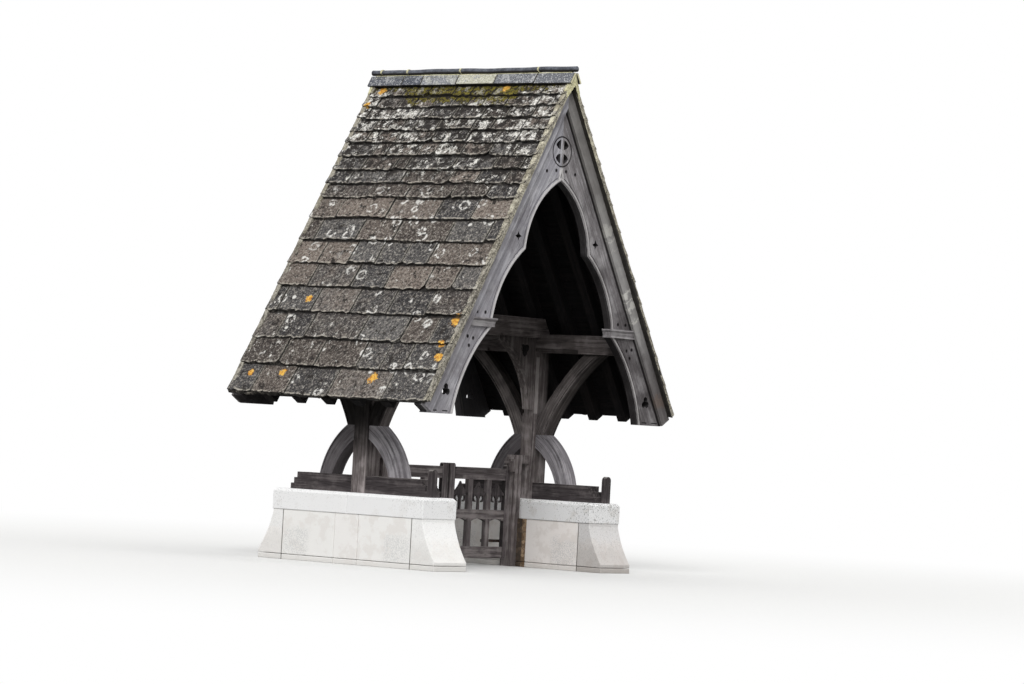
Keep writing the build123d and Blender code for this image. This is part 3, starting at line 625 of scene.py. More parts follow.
def gate_wear_light_and_shade(wood):
    """Painted shade in the seams where the rails meet the stiles and where the leaves meet, and top edges
    lighter with painted sky light and bleaching.
    """
    sky_lit_and_bleached_top(wood)
    aside = abs(wood.x)
    rail_ends = [wood.fall(abs(aside - end), 0.002, 0.005) for end in (meeting_stile, hanging_stile)]
    seam_shade = rail_ends[0].most(rail_ends[1]).most(wood.fall(aside, 0.010, 0.016))
    wood.coat(seam_shade * 0.8, (24, 21, 21))


# Finishes of the stone walls and the hinges
def coping_stone():
    stone = Finish("coping_stone")
    grit = stone.patches(0.014, 6.0, 0.7)
    blotch = stone.patches(0.16, 4.0, 0.6)
    stone.colour = stone.mix(stone.attribute("tone"), (240, 240, 240), (247, 246, 246))
    stone.coat(stone.rise(blotch, 0.52, 0.66) * 0.35, (206, 200, 192))
    speck = stone.patches(0.020, 6.0, 0.72) + stone.rise(abs(stone.y), 0.55, 1.15) * 0.06
    dirt = stone.rise(speck + stone.rise(stone.z, 0.70, coping_top) * 0.05 + blotch * 0.10, 0.66, 0.71)
    stone.coat(dirt * 0.7, (120, 120, 118))
    stone.coat(stone.on_left() * 0.6, (250, 250, 250))
    return stone.finish(0.9, grit * 0.5 + blotch * 0.5, 0.006)


def wall_stone():
    stone = Finish("wall_stone")
    aside = abs(stone.y)
    grit = stone.patches(0.014, 6.0, 0.7)
    blotch = stone.patches(0.16, 4.0, 0.6)
    stone.colour = stone.mix(stone.attribute("tint"), (242, 240, 236), (243, 232, 226))
    stone.coat(stone.attribute("tone") * 0.6, (246, 244, 242))
    stone.coat(stone.rise(blotch, 0.48, 0.60) * 0.55, (204, 190, 180))
    # Grey growth low down on the main block, whiter stone and a brown foot at the end of the wall
    low = stone.band(stone.z + blotch * 0.3, 0.20, 0.52, 0.06) * stone.band(aside, 0.58, 0.96, 0.06)
    stone.coat(low * stone.rise(grit, 0.46, 0.54) * 0.75, (138, 138, 138))
    end_block = stone.past(aside, end_block_start)
    stone.coat(end_block * stone.rise(stone.z + blotch * 0.4, 0.52, 0.62) * 0.7, (246, 246, 246))
    stone.coat(end_block * stone.fall(stone.z + blotch * 0.5, 0.45, 0.60) * 0.5, (190, 182, 174))
    stone.coat(end_block * stone.rise(grit, 0.52, 0.60) * 0.5, (158, 156, 154))
    stone.coat(stone.rise(grit, 0.60, 0.68) * 0.5, (156, 150, 142))
    stone.coat(stone.fall(stone.z + blotch * 0.1, 0.06, 0.14) * 0.5, (160, 152, 138))
    # The left wall is whiter, and so is the main block of the right one
    stone.coat(stone.on_left() * 0.6, (252, 252, 250))
    on_right = stone.rise(stone.x, 0.0, 0.01)
    stone.coat(on_right * end_block * 0.45, (184, 181, 180))
    stone.coat(on_right * (1.0 - end_block) * 0.5, (253, 250, 247))
    stone.coat(stone.fall(abs(aside - end_block_start), 0.003, 0.009) * 0.8, (70, 62, 54))
    # Brown rubble in the chase of the gate post, on the passage side, dark where the post shades it
    passage_side = stone.fall(abs(stone.x), frame_middle - 0.01, frame_middle)
    rubble = stone.fall(aside, gate_post_chase - 0.004, gate_post_chase) * passage_side
    bits = stone.cells(stone.place, 0.045, "Color")
    edges = stone.fall(stone.cells(stone.place, 0.045, feature="DISTANCE_TO_EDGE"), 0.04, 0.10)
    brown = stone.mix(stone.rise(bits, 0.3, 0.7), (120, 96, 72), (182, 154, 124))
    brown = stone.mix(edges * 0.7, brown, (96, 84, 72))
    brown = stone.mix(stone.fall(aside, 0.118, 0.130) * 0.8, brown, (60, 54, 50))
    stone.coat(rubble, brown)
    return stone.finish(0.92, grit * 0.5 + blotch * 0.5, 0.006)


def iron():
    metal = Finish("black_iron")
    blotch = metal.patches(0.02, 4.0, 0.6)
    metal.colour = metal.mix(metal.rise(blotch, 0.45, 0.65), (46, 43, 42), (84, 60, 46))
    return metal.finish(0.62, blotch, 0.001, Metallic=0.55)


slab_finish = slab_stone()
verge_finish = verge_mortar()
ridge_finish = ridge_stone()
roll_finish = ridge_roll_lead()
bed_finish = ridge_mortar()
coping_finish = coping_stone()
wall_finish = wall_stone()
iron_finish = iron()

# Finishes of the oak, by the piece's colour and the way its grain runs
pale_wear_and_shade = gable_wear_and_shade((104, 100, 105), (136, 132, 136), 0.35, 0.85)
grey_wear_and_shade = gable_wear_and_shade((88, 84, 85), (66, 61, 62), 1.0, 0.45)
oak_kinds = [
    ("capital", "capital_oak", grey_silver_oak, straight_grain("across"), 0.4),
    ("tie_beam", "tie_beam_oak", frame_oak, straight_grain("across"), 0.8, sheltered_and_shaded(0.35)),
    ("upper_brace", "frame_oak_upper_brace", upper_brace_oak,
     curved_grain(circle_centre(*upper_brace_arc)), 0.7, sheltered_and_shaded(0.8)),
    ("lower_brace", "frame_oak_lower_brace", lower_brace_oak,
     curved_grain(circle_centre(*lower_brace_arc)), 0.7, back_brace_shade_and_weather),
    ("bracket", "bracket_oak", frame_oak, straight_grain("upright"), 0.8, bracket_shelter_and_shade),
    ("gate_post", "gate_post_oak", frame_oak, straight_grain("upright"), 0.7, sky_lit_and_bleached_top),
    ("sill", "sill_oak", sill_oak, straight_grain("along"), 0.8, sky_lit_and_bleached_top),
    ("stub", "sill_oak_upright", sill_oak, straight_grain("upright"), 0.8, sky_lit_and_bleached_top),
    ("gate", "gate_oak", gate_oak, gate_grain, 0.6, gate_wear_light_and_shade),
    ("tracery", "tracery_oak", sill_oak, straight_grain("upright"), 0.4),
]
for way in ("left_slope", "right_slope"):
    grain = straight_grain(way)
    oak_kinds += [
        ("pale_" + way, "pale_gable_oak_" + way, pale_silver_oak, grain, 0.4, pale_wear_and_shade),
        ("grey_" + way, "grey_gable_oak_" + way, grey_silver_oak, grain, 0.5, grey_wear_and_shade),
        ("verge_" + way, "verge_oak_" + way, verge_oak, grain, 0.5, verge_wear_and_shade),
    ]
for way in ("along", "upright"):
    oak_kinds.append(("frame_" + way, "frame_oak_" + way, frame_oak, straight_grain(way), 0.8,
                      sheltered_and_shaded(0.6)))
for way in ("along", "left_slope", "right_slope"):
    oak_kinds.append(("inner_" + way, "inner_oak_" + way, shaded_inner_oak, straight_grain(way), 0.5))
finishes = {key: oak(*kind) for key, *kind in oak_kinds}


# Geometry trees
class GrowthTree(Graph):
    """A geometry tree with named sizes, grown on a base mesh into a plain mesh."""

    def __init__(self, name, sizes):
        tree = bpy.data.node_groups.new(name, "GeometryNodeTree")
        super().__init__(tree)
        tree.interface.new_socket(name="Geometry", in_out="INPUT", socket_type="NodeSocketGeometry")
        tree.interface.new_socket(name="Geometry", in_out="OUTPUT", socket_type="NodeSocketGeometry")
        for size_name, kind in sizes.items():
            tree.interface.new_socket(name=size_name, in_out="INPUT", socket_type="NodeSocket" + kind)
        self.entry = tree.nodes.new("NodeGroupInput")

    def size(self, name):
        return Value(self, self.entry.outputs[name])

    def attribute(self, name, kind="FLOAT"):
        return self.node("GeometryNodeInputNamedAttribute", {"data_type": kind}, {"Name": name})

    def store(self, geometry, name, value, domain="POINT", kind="FLOAT"):
        return self.node("GeometryNodeStoreNamedAttribute", {"domain": domain, "data_type": kind}, {
            "Geometry": geometry, "Name": name, "Value": value})

    def random(self, low, high, offset):
        """A random number for each point, from the tree's own seed."""
        return self.node("FunctionNodeRandomValue", {"data_type": "FLOAT"}, {
            "Min": low, "Max": high, "Seed": self.size("Seed") + offset})

    def shift(self, geometry, offset):
        return self.node("GeometryNodeSetPosition", {}, {"Geometry": geometry, "Offset": offset})

    def block(self, size, counts, middle):
        """A box round its middle, with this many points along its sides."""
        box = self.node("GeometryNodeMeshCube", {}, {
            "Size": size, "Vertices X": counts[0], "Vertices Y": counts[1], "Vertices Z": counts[2]})
        return self.node("GeometryNodeTransform", {}, {"Geometry": box, "Translation": middle})

    def on_points(self, points, block, **how):
        return self.node("GeometryNodeInstanceOnPoints", {}, {"Points": points, "Instance": block, **how})

    def realize(self, geometry):
        return self.node("GeometryNodeRealizeInstances", {}, {"Geometry": geometry})

    def close(self, geometry):
        painted = self.node("GeometryNodeSetMaterial", {}, {
            "Geometry": self.realize(geometry), "Material": self.size("Finish")})
        leave = self.tree.nodes.new("NodeGroupOutput")
        self.feed(leave.inputs["Geometry"], painted)

    def grow(self, base_mesh, **sizes):
        carrier = bpy.data.objects.new("carrier", base_mesh)
        collection.objects.link(carrier)
        modifier = carrier.modifiers.new("growth", "NODES")
        modifier.node_group = self.tree
        named = {name.replace("_", " "): size for name, size in sizes.items()}
        for item in self.tree.interface.items_tree:
            if item.in_out == "INPUT" and item.name in named:
                modifier[item.identifier] = named[item.name]
        depsgraph = bpy.context.evaluated_depsgraph_get()
        mesh = bpy.data.meshes.new_from_object(
            carrier.evaluated_get(depsgraph), preserve_all_data_layers=True, depsgraph=depsgraph)
        carrier.modifiers.remove(modifier)
        bpy.data.objects.remove(carrier)
        return mesh


def slab_courses():
    """Slabs in courses. The base mesh has one vertex a slab, in the middle of its nose, with its width
    and the length of it that shows. X runs up the roof, Y along the eaves and Z out of the roof."""
    tree = GrowthTree("slab_courses", {
        "Roof length": "Float", "Lap": "Float", "Gap": "Float", "Step": "Float", "Thickness": "Float",
        "Bed depth": "Float", "Seed": "Int", "Finish": "Material"})
    exposure = tree.attribute("exposure")
    breadth = tree.attribute("breadth")
    length = exposure + tree.size("Lap")
    placed = tree.shift(tree.size("Geometry"), tree.xyz(
        tree.random(-0.014, 0.014, 2), 0.0, tree.random(-0.003, 0.004, 3)))
    position = tree.node("GeometryNodeInputPosition")
    block = tree.block((1.0, 1.0, 1.0), (5, 13, 2), (0.5, 0.0, -0.5))
    block = tree.store(block, "local", position, kind="FLOAT_VECTOR")
    tilt = (tree.size("Step") / exposure).arctangent()
    turn = tree.xyz(tree.random(-0.010, 0.010, 5), tilt + tree.random(-0.008, 0.008, 6),
                    tree.random(-0.018, 0.018, 7))
    thickness = tree.size("Thickness") * tree.random(0.85, 1.2, 4)
    laid = tree.on_points(
        placed, block, Rotation=tree.node("FunctionNodeEulerToRotation", {}, {"Euler": turn}),
        Scale=tree.xyz(length, breadth - tree.size("Gap"), thickness))
    laid = tree.store(laid, "tone", tree.random(0.0, 1.0, 8), "INSTANCE")
    laid = tree.store(laid, "tint", tree.random(0.0, 1.0, 9), "INSTANCE")
    local = tree.parts(tree.attribute("local", "FLOAT_VECTOR"))
    from_nose = local[0] * length
    side = (0.5 - abs(local[1])) * breadth
    solid = tree.store(tree.realize(laid), "from_nose", from_nose)
    solid = tree.store(solid, "to_nose", exposure - from_nose)
    solid = tree.store(solid, "slab_side", side)
    ragged_x, ragged_y, ragged_z = tree.parts(tree.noise(position, 0.07, 3.0, 0.6, "Color"))
    nose = tree.fall(from_nose, 0.0, 0.10)
    broken = tree.rise(tree.noise(position, 0.30, 1.0), 0.56, 0.62) * 0.045 + 0.004
    worn_corner = nose * tree.fall(side, 0.0, 0.06) * broken
    solid = tree.shift(solid, tree.xyz((ragged_x - 0.5) * nose * 0.100 + worn_corner,
                                       (ragged_y - 0.5) * 0.014, (ragged_z - 0.5) * 0.020))
    x, y, z = tree.parts(position)
    half = tree.size("Roof length") * 0.5
    kept = tree.xyz(x, y.most(0.0 - half).least(half), z.most(0.0 - tree.size("Bed depth")))
    tree.close(tree.node("GeometryNodeSetPosition", {}, {"Geometry": solid, "Position": kept}))
    return tree


def verge_fillet():
    """A rough strip of mortar up the end of a slope. The base mesh has one vertex, at its lower end."""
    tree = GrowthTree("verge_fillet", {
        "Length": "Float", "Width": "Float", "Depth": "Float", "Lumps": "Float", "Finish": "Material"})
    length, width, depth, lumps = [tree.size(name) for name in ("Length", "Width", "Depth", "Lumps")]
    strip = tree.block(tree.xyz(length, width, depth), (220, 4, 3),
                       tree.xyz(length * 0.5, 0.0, 0.0 - depth * 0.5))
    solid = tree.realize(tree.on_points(tree.size("Geometry"), strip))
    position = tree.node("GeometryNodeInputPosition")
    push = tree.parts(tree.noise(position, 0.07, 4.0, 0.65, "Color"))
    from_middle = abs(tree.parts(position)[1])
    outward = tree.rise(from_middle, verge_half_length - 0.03, verge_half_length - 0.01)
    aside = (push[1] - 0.5) * (1.0 - outward) * lumps * 2.0
    tree.close(tree.shift(solid, tree.xyz(0.0, aside, (push[2] - 0.5) * lumps)))
    return tree


def board_rows():
    """A row of boards side by side up the roof. The base mesh has one vertex a board, at its lower edge."""
    tree = GrowthTree("board_rows", {
        "Board width": "Float", "Board length": "Float", "Thickness": "Float", "Seed": "Int",
        "Finish": "Material"})
    width = tree.size("Board width") + tree.random(-0.004, 0.0, 1)
    thickness = tree.size("Thickness") + tree.random(-0.002, 0.0, 2)
    block = tree.block((1.0, 1.0, 1.0), (2, 2, 2), (0.5, 0.0, 0.5))
    tree.close(tree.on_points(tree.size("Geometry"), block,
                              Scale=tree.xyz(width, tree.size("Board length"), thickness)))
    return tree


# Making and placing pieces
def on_slope(side):
    """From the flat frame of one slope (up the roof, along it, out of it) to the part's frame."""
    up = Vector((-math.cos(roof_slope), 0.0, math.sin(roof_slope)))
    out = Vector((math.sin(roof_slope), 0.0, math.cos(roof_slope)))
    matrix = Matrix((up, out.cross(up), out)).transposed().to_4x4()
    matrix.translation = (eave_half_width, 0.0, eave_height)
    return matrix if side == "right" else Matrix.Rotation(math.pi, 4, "Z") @ matrix


def along_at(x, depth):
    """How far up the roof a layer of this depth is this far from the middle."""
    return (eave_half_width - depth * math.sin(roof_slope) - x) / math.cos(roof_slope)


def points_mesh(points, **attributes):
    mesh = bpy.data.meshes.new("points")
    mesh.from_pydata(points, [], [])
    for name, values in attributes.items():
        mesh.attributes.new(name, "FLOAT", "POINT").data.foreach_set("value", values)
    return mesh


def piece(name, mesh, replaced=(), finish=None):
    if finish:
        mesh.materials.append(finish)
    made = bpy.data.objects.new(name, mesh)
    mesh.name = name
    collection.objects.link(made)
    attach(made, "root")
    if replaced:
        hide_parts(*replaced)
    return made


def box_mesh(bm, low, high, transform):
    corners = [Vector((x, y, z)) for x in (low[0], high[0]) for y in (low[1], high[1])
               for z in (low[2], high[2])]
    verts = [bm.verts.new(transform @ c) for c in corners]
    for face in ((0, 1, 3, 2), (4, 6, 7, 5), (0, 4, 5, 1), (2, 3, 7, 6), (0, 2, 6, 4), (1, 5, 7, 3)):
        bm.faces.new([verts[i] for i in face])
    return verts


def skin(bm, rings):
    """Joins closed rings of points one to the next, and closes both ends."""
    for first, second in zip(rings[:-1], rings[1:]):
        for k in range(len(first)):
            after = (k + 1) % len(first)
            bm.faces.new((first[k], first[after], second[after], second[k]))
    bm.faces.new(rings[0])
    bm.faces.new(rings[-1])


def mesh_of(bm, name):
    bmesh.ops.recalc_face_normals(bm, faces=bm.faces)
    mesh = bpy.data.meshes.new(name)
    bm.to_mesh(mesh)
    bm.free()
    return mesh


# Roof slabs
def graded(first, last, count):
    return [first + (last - first) * i / (count - 1) for i in range(count)]


wing_along = (eave_half_width - wing_lower_half_width) / math.cos(roof_slope)
exposures = graded(*lower_exposures) + graded(*upper_exposures)
fit = (wing_along + wing_overhang - first_course_start) / sum(exposures)
exposures = [e * fit for e in exposures]
starts = [first_course_start + sum(exposures[:i]) for i in range(len(exposures))]

# Joints of the left slope, course by course from the eaves
left_joints = (
    (1.15, 0.62, -0.03, -0.86),
    (0.93, 0.37, -0.27, -0.63, -0.97),
    (1.16, 0.71, -0.10, -0.74, -1.17),
    (1.34, 0.81, 0.20, -0.36, -0.94),
    (1.04, 0.38, -0.14, -0.74, -1.14),
    (1.06, 0.59, 0.17, -0.23, -0.62),
    (1.29, 0.63, 0.06, -0.74, -1.32),
    (1.11, 0.33, -0.41, -0.96),
    (0.77, 0.17, -0.50, -1.04),
    (1.18, 0.35, -0.37, -0.78, -1.21),
    (1.06, 0.56, 0.38, -0.33, -0.95, -1.37),
    (0.99, 0.78, 0.29, 0.04, -0.37, -0.78, -1.16),
    (1.19, 0.72, 0.44, 0.18, -0.36, -0.77, -1.11),
    (1.17, 0.73, 0.53, 0.19, -0.35, -0.65, -1.11),
    (1.37, 0.97, 0.58, 0.39, 0.03, -0.42, -0.80, -1.18),
    (1.29, 0.94, 0.70, 0.42, 0.11, -0.12, -0.35, -0.70, -1.18),
    (1.20, 0.96, 0.57, 0.18, -0.09, -0.43, -0.76, -1.18),
)


def chance_joints(seed):
    """Joints for a slope that isn't seen, as far apart as those of the other one."""
    chance = random.Random(seed)
    rows = []
    for i in range(len(exposures)):
        usual = 0.62 - 0.015 * i
        place = -verge_half_length + chance.uniform(0.4, 1.1) * usual
        row = []
        while place < verge_half_length - 0.2:
            row.append(place)
            place += chance.uniform(0.65, 1.35) * usual
        rows.append(row)
    return rows


def slab_points(rows):
    """One vertex a slab: the eaves' hidden under-course first, then every course."""
    shown = [(first_course_start + 0.012, -slab_thickness, 0.3, rows[1])]
    shown += [(start, 0.0, exposure, row) for start, exposure, row in zip(starts, exposures, rows)]
    points = []
    breadths = []
    lengths = []
    for start, level, exposure, row in shown:
        ends = [-verge_half_length, *sorted(row), verge_half_length]
        for low, high in zip(ends[:-1], ends[1:]):
            points.append((start, (low + high) / 2, level))
            breadths.append(high - low)
            lengths.append(exposure)
    return points_mesh(points, breadth=breadths, exposure=lengths)


slabs = slab_courses()
for side, rows, seed in (("left", left_joints, 11), ("right", chance_joints(47), 47)):
    mesh = slabs.grow(slab_points(rows), Roof_length=2 * verge_half_length, Lap=slab_lap, Gap=slab_gap,
                      Step=slab_thickness, Thickness=slab_thickness - 0.003, Bed_depth=slab_layer - 0.001,
                      Seed=seed, Finish=slab_finish)
    mesh.transform(on_slope(side))
    piece("slabs_" + side, mesh, ["slab_roof_" + side])

# Mortar of the verges
fillet_width = 0.060
fillet_depth = 0.060
fillet_sunk = -0.012
fillets = verge_fillet()
for side in ("left", "right"):
    start = first_course_start + 0.020
    length = along_at(0.0, slab_layer) - 0.02 - start
    middle = verge_half_length - 0.004 - fillet_width / 2
    feet = points_mesh([(start, -middle, fillet_sunk), (start, middle, fillet_sunk)])
    mesh = fillets.grow(feet, Length=length, Width=fillet_width, Depth=fillet_depth, Lumps=0.024,
                        Finish=verge_finish)
    mesh.transform(on_slope(side))
    piece("verge_mortar_" + side, mesh)

# Roof boards
boards = board_rows()
board_depth = slab_layer + board_thickness
board_run = along_at(0.0, board_depth) - first_course_start
board_count = int(board_run / 0.185)
board_pitch = board_run / board_count
board_points = [(first_course_start + i * board_pitch, 0.0, -board_depth) for i in range(board_count)]
for side, seed in (("left", 3), ("right", 5)):
    mesh = boards.grow(points_mesh(board_points), Board_width=board_pitch - 0.003,
                       Board_length=2 * gable_board_back, Thickness=board_thickness, Seed=seed,
                       Finish=finishes["inner_along"])
    mesh.transform(on_slope(side))
    piece("roof_boards_" + side, mesh, ["roof_boarding_" + side])

# Ridge
wing_joints = (1.034, 0.734, 0.184, -0.402, -1.011)
wing_tones = (0.1, 0.0, 0.65, 1.0, 0.4, 0.35)
wing_tints = (0.15, 0.0, 0.4, 1.0, 0.15, 0.1)
roll_joints = (1.416, 1.003, 0.177, -1.011)


def ridge_wings(side, seed):
    """The stones on one side of the ridge, each cut across so that its colour can darken at its ends."""
    chance = random.Random(seed)
    bm = bmesh.new()
    tone = bm.verts.layers.float.new("tone")
    tint = bm.verts.layers.float.new("tint")
    distance = bm.verts.layers.float.new("joint_distance")
    ends = [ridge_half_length, *wing_joints, -ridge_half_length]
    top = along_at(wing_gap / 2, 0.0)
    gap = 0.004
    steps = 6
    for low_end, high_end, shade, yellow in zip(ends[1:], ends[:-1], wing_tones, wing_tints):
        low_edge = wing_along + chance.uniform(-0.006, 0.004)
        thickness = wing_thickness - chance.uniform(0.0, 0.004)
        span = (high_end - low_end - 2 * gap) / steps
        for i in range(steps):
            first = low_end + gap + i * span
            verts = box_mesh(bm, (low_edge, first, 0.001), (top, first + span, thickness), on_slope(side))
            for k, vert in enumerate(verts):
                vert[tone] = shade
                vert[tint] = yellow
                at = i + (1 if k in (2, 3, 6, 7) else 0)
                vert[distance] = min(at, steps - at) * span
    if side == "right":
        bmesh.ops.scale(bm, vec=(1.0, -1.0, 1.0), verts=bm.verts)
    bmesh.ops.remove_doubles(bm, verts=bm.verts, dist=0.0005)
    inner = [f for f in bm.faces if all(len(e.link_faces) > 2 for e in f.edges)]
    bmesh.ops.delete(bm, geom=inner, context="FACES_ONLY")
    return mesh_of(bm, "ridge_wings_" + side)


def roll_mesh():
    """The round ridge roll, a little uneven along its length."""
    bm = bmesh.new()
    around = 20
    steps = 120
    rings = []
    for i in range(steps + 1):
        y = -ridge_half_length + 2 * ridge_half_length * i / steps
        middle = roll_height + (0.0035 * math.sin(4.1 * y) + 0.002 * math.sin(11.0 * y + 1.0))
        turns = [2 * math.pi * k / around for k in range(around)]
        rings.append([bm.verts.new((roll_radius * math.cos(turn), y, middle + roll_radius * math.sin(turn)))
                      for turn in turns])
    skin(bm, rings)
    for face in bm.faces:
        face.smooth = True
    return mesh_of(bm, "ridge_roll_round")


def collars():
    """Mortar at the joints of the roll."""
    bm = bmesh.new()
    for y in roll_joints:
        place = Matrix.Translation((0.0, y, roll_height)) @ Matrix.Rotation(quarter, 4, "X")
        bmesh.ops.create_cone(bm, cap_ends=True, segments=20, radius1=roll_radius + 0.005,
                              radius2=roll_radius + 0.005, depth=0.022, matrix=place)
    return mesh_of(bm, "roll_collars")


def ridge_bed():
    """Mortar under the wings, which comes out in a rough chevron at each end of the ridge."""
    chance = random.Random(4)
    bm = bmesh.new()
    chevron_reach = 0.26
    steps = 12
    for side in ("left", "right"):
        low = (wing_along + 0.03, -ridge_half_length + 0.06, -slab_layer + 0.001)
        high = (along_at(0.0, 0.0) - 0.002, ridge_half_length - 0.06, 0.012)
        box_mesh(bm, low, high, on_slope(side))
        for gable in (-1, 1):
            inner = gable * (verge_half_length - 0.030)
            rings = []
            for i in range(steps + 1):
                back = chevron_reach * i / steps
                outer = gable * (ridge_half_length - 0.012 - 0.030 * i / steps)
                depth = 0.080 - 0.020 * i / steps
                top = along_at(0.0, 0.003) - back
                under = along_at(0.0, depth) - back
                ragged = [chance.uniform(-0.004, 0.004) for _ in range(3)]
                profile = ((top, inner, -0.003), (top, outer, -0.003 - abs(ragged[0])),
                           (under, outer + ragged[1], -depth + ragged[2]), (under, inner, -depth))
                rings.append([bm.verts.new(on_slope(side) @ Vector(p)) for p in profile])
            skin(bm, rings)
    return mesh_of(bm, "ridge_bed")


for side, seed in (("left", 21), ("right", 22)):
    piece("ridge_wings_" + side, ridge_wings(side, seed), ["ridge_wing_" + side],
          finish=ridge_finish)
piece("ridge_roll_round", roll_mesh(), ["ridge_roll"], finish=roll_finish)
piece("roll_collars", collars(), finish=bed_finish)
piece("ridge_bed", ridge_bed(), finish=bed_finish)


# Stones and boards cut from the shape of a CAD node
weld_distance = 0.00005


def welded_copy(node):
    bm = bmesh.new()
    bm.from_mesh(cad_nodes[node].data)
    bmesh.ops.remove_doubles(bm, verts=bm.verts, dist=weld_distance)
    return bm


def keep_between(bm, axis, low, high):
    """Cuts away what lies outside two levels on an axis, and closes the cuts."""
    for level, away in ((low, -1.0), (high, 1.0)):
        point = Vector((0.0, 0.0, 0.0))
        point[axis] = level
        normal = Vector((0.0, 0.0, 0.0))
        normal[axis] = away
        cut = bmesh.ops.bisect_plane(bm, geom=bm.verts[:] + bm.edges[:] + bm.faces[:], plane_co=point,
                                     plane_no=normal, clear_outer=True)
        rim = [e for e in cut["geom_cut"] if isinstance(e, bmesh.types.BMEdge)]
        if rim:
            bmesh.ops.holes_fill(bm, edges=rim, sides=0)


def stones_from(node, courses, joint, seed):
    """One block of a node for each place in the courses: (low, high, ends along Y)."""
    chance = random.Random(seed)
    whole = bmesh.new()
    tone = whole.verts.layers.float.new("tone")
    tint = whole.verts.layers.float.new("tint")
    source = welded_copy(node)
    bmesh.ops.dissolve_limit(source, angle_limit=math.radians(0.5), verts=source.verts, edges=source.edges)
    for low, high, ends in courses:
        for first, last in zip(ends[:-1], ends[1:]):
            stone = source.copy()
            keep_between(stone, 2, low + joint / 2, high - joint / 2)
            keep_between(stone, 1, first + joint / 2, last - joint / 2)
            stone.normal_update()
            shade = chance.random()
            pink = chance.random()
            moved = {}
            for vert in stone.verts:
                moved[vert] = whole.verts.new(vert.co)
                moved[vert][tone] = shade
                moved[vert][tint] = pink
            for face in stone.faces:
                whole.faces.new([moved[v] for v in face.verts])
            stone.free()
    source.free()
    return mesh_of(whole, node)


def soften(made, width):
    bevel = made.modifiers.new("worn_edges", "BEVEL")
    bevel.width = width
    bevel.segments = 2
    bevel.limit_method = "ANGLE"
    bevel.angle_limit = math.radians(35)


# The ends of the courses lie past the shape, so that nothing is cut off there
wall_ends = (-1.40, -end_block_start, -gate_post_chase, gate_post_chase, end_block_start, 1.40)
wall_courses = ((-0.005, plinth_top, wall_ends), (plinth_top, coping_bottom + 0.006, wall_ends))
coping_courses = ((coping_bottom - 0.004, coping_top + 0.006, (-1.20, 0.0, 1.20)),)
for side, seed in (("left", 5), ("right", 8)):
    wall = piece("wall_stones_" + side, stones_from("low_wall_" + side, wall_courses, 0.006, seed),
                 ["low_wall_" + side], finish=wall_finish)
    soften(wall, 0.006)
    cap = piece("coping_stones_" + side, stones_from("coping_" + side, coping_courses, 0.004, seed + 20),
                ["coping_" + side], finish=coping_finish)
    soften(cap, 0.010)


def without_slivers(node):
    """A node's shape without the thin wedge that the lobes of the foot hole leave between them."""
    bm = welded_copy(node)
    unseen = set(bm.verts)
    while unseen:
        queue = [unseen.pop()]
        island = set(queue)
        while queue:
            vert = queue.pop()
            beyond = {edge.other_vert(vert) for edge in vert.link_edges} - island
            island |= beyond
            queue.extend(beyond)
        unseen -= island
        across = [vert.co.x for vert in island]
        if max(across) - min(across) < 0.010:
            bmesh.ops.delete(bm, geom=list(island), context="VERTS")
    return mesh_of(bm, node)


arch_board_finishes = {
    ("front", "left"): "pale", ("front", "right"): "grey",
    ("back", "left"): "grey", ("back", "right"): "pale",
}
for (gable, side), tone in arch_board_finishes.items():
    place = gable + "_" + side
    piece("cusped_board_" + place, without_slivers("arch_board_" + place),
          ["arch_board_" + place], finish=finishes[tone + "_" + side + "_slope"])

# Oak and iron that keep the CAD's own shape
node_finishes = {
    "verge_board_front_left": "pale_left_slope",
    "verge_board_front_right": "verge_right_slope",
    "verge_board_back_left": "verge_left_slope",
    "verge_board_back_right": "verge_right_slope",
    "tie_beam": "tie_beam",
    "ridge_board": "inner_along",
    "end_stubs": "stub",
}
pair_finishes = {
    "wall_plate": "frame_along",
    "post": "frame_upright",
    "gate_post": "gate_post",
    "upper_braces": "upper_brace",
    "lower_braces": "lower_brace",
    "knee_bracket": "bracket",
    "sills": "sill",
    "gate_frame": "gate",
    "gate_tracery": "tracery",
    "capital_front": "capital",
    "capital_back": "capital",
}
for side in ("left", "right"):
    node_finishes["rafters_" + side] = "inner_" + side + "_slope"
    for node, finish_name in pair_finishes.items():
        node_finishes[node + "_" + side] = finish_name


def dress(node, finish):
    mesh = cad_nodes[node].data
    mesh.materials.clear()
    mesh.materials.append(finish)


for node, finish_name in node_finishes.items():
    dress(node, finishes[finish_name])
for node in ("gate_hinges", "hinge_pins"):
    for side in ("left", "right"):
        dress(node + "_" + side, iron_finish)

# Floor, light and camera
sky_light = 0.72
floor_reach = 400.0
floor_colour = (0.80, 0.80, 0.79, 1.0)
floor_bounce = (0.20, 0.20, 0.19, 1.0)
white = (1.0, 1.0, 1.0, 1.0)
camera_place = (-35.600, -29.166, 1.600)
camera_turns = ((-51.471, "Z"), (91.370, "X"), (3.139, "Z"))


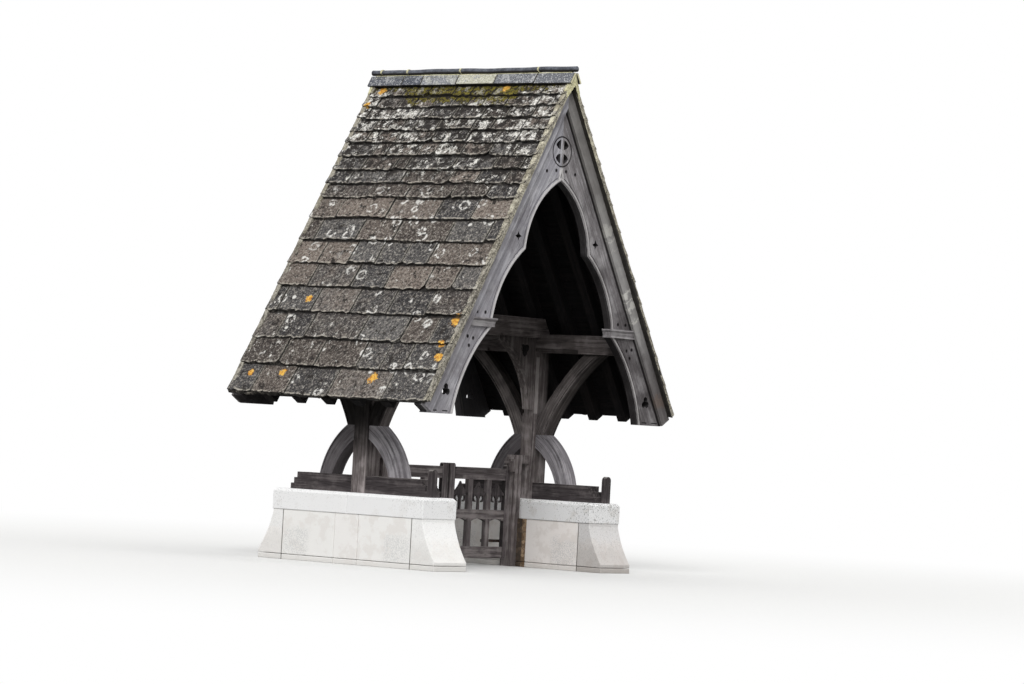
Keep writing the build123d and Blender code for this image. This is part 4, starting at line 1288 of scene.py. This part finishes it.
def floor():
    """A pale floor that fades into the white of the background away from the object. It throws back less
    light than its colour shows."""
    mesh = bpy.data.meshes.new("floor")
    corners = [(x * floor_reach, y * floor_reach, 0.0) for x, y in ((-1, -1), (1, -1), (1, 1), (-1, 1))]
    mesh.from_pydata(corners, [], [(0, 1, 2, 3)])
    ground = Finish("pale_floor")
    seen = ground.node("ShaderNodeLightPath", output="Is Camera Ray")
    ground.feed(ground.shader.inputs["Base Color"], ground.node("ShaderNodeMix", {"data_type": "RGBA"}, {
        "Factor": seen, "A": floor_bounce, "B": floor_colour}))
    ground.shader.inputs["Roughness"].default_value = 0.9
    glow = ground.node("ShaderNodeEmission", {}, {"Color": white, "Strength": 1.0})
    both = ground.node("ShaderNodeMixShader", {}, {
        0: ground.rise(radius_at(ground.x, ground.y), 5.0, 16.0) * seen,
        1: Value(ground, ground.shader.outputs[0]), 2: glow})
    ground.feed(ground.tree.nodes["Material Output"].inputs["Surface"], both)
    mesh.materials.append(ground.material)
    made = bpy.data.objects.new("floor", mesh)
    collection.objects.link(made)


def sky():
    """Even light from all round, in front of a white background."""
    world = bpy.data.worlds.new("soft_sky")
    world.use_nodes = True
    scene.world = world
    graph = Graph(world.node_tree)
    back = world.node_tree.nodes["Background"]
    seen = graph.node("ShaderNodeLightPath", output="Is Camera Ray")
    graph.feed(back.inputs["Strength"], seen * (1.0 - sky_light) + sky_light)
    back.inputs["Color"].default_value = white


def lamp(name, strength, angle, towards):
    lamp_light = bpy.data.lights.new(name, "SUN")
    lamp_light.energy = strength
    lamp_light.angle = math.radians(angle)
    made = bpy.data.objects.new(name, lamp_light)
    made.rotation_mode = "QUATERNION"
    made.rotation_quaternion = Vector(towards).to_track_quat("-Z", "Y")
    collection.objects.link(made)


floor()
sky()
lamp("key", 1.9, 25.0, (0.85, 0.50, -0.85))
lamp("fill", 0.35, 60.0, (-0.5, 0.8, -0.5))

lens = bpy.data.cameras.new("camera")
lens.lens = 135.66
lens.sensor_width = 36.0
lens.clip_end = floor_reach
camera = bpy.data.objects.new("camera", lens)
collection.objects.link(camera)
stand = Matrix.Translation(camera_place)
for degrees, axis in camera_turns:
    stand = stand @ Matrix.Rotation(math.radians(degrees), 4, axis)
camera.matrix_world = stand
scene.camera = camera
scene.view_settings.view_transform = "Standard"
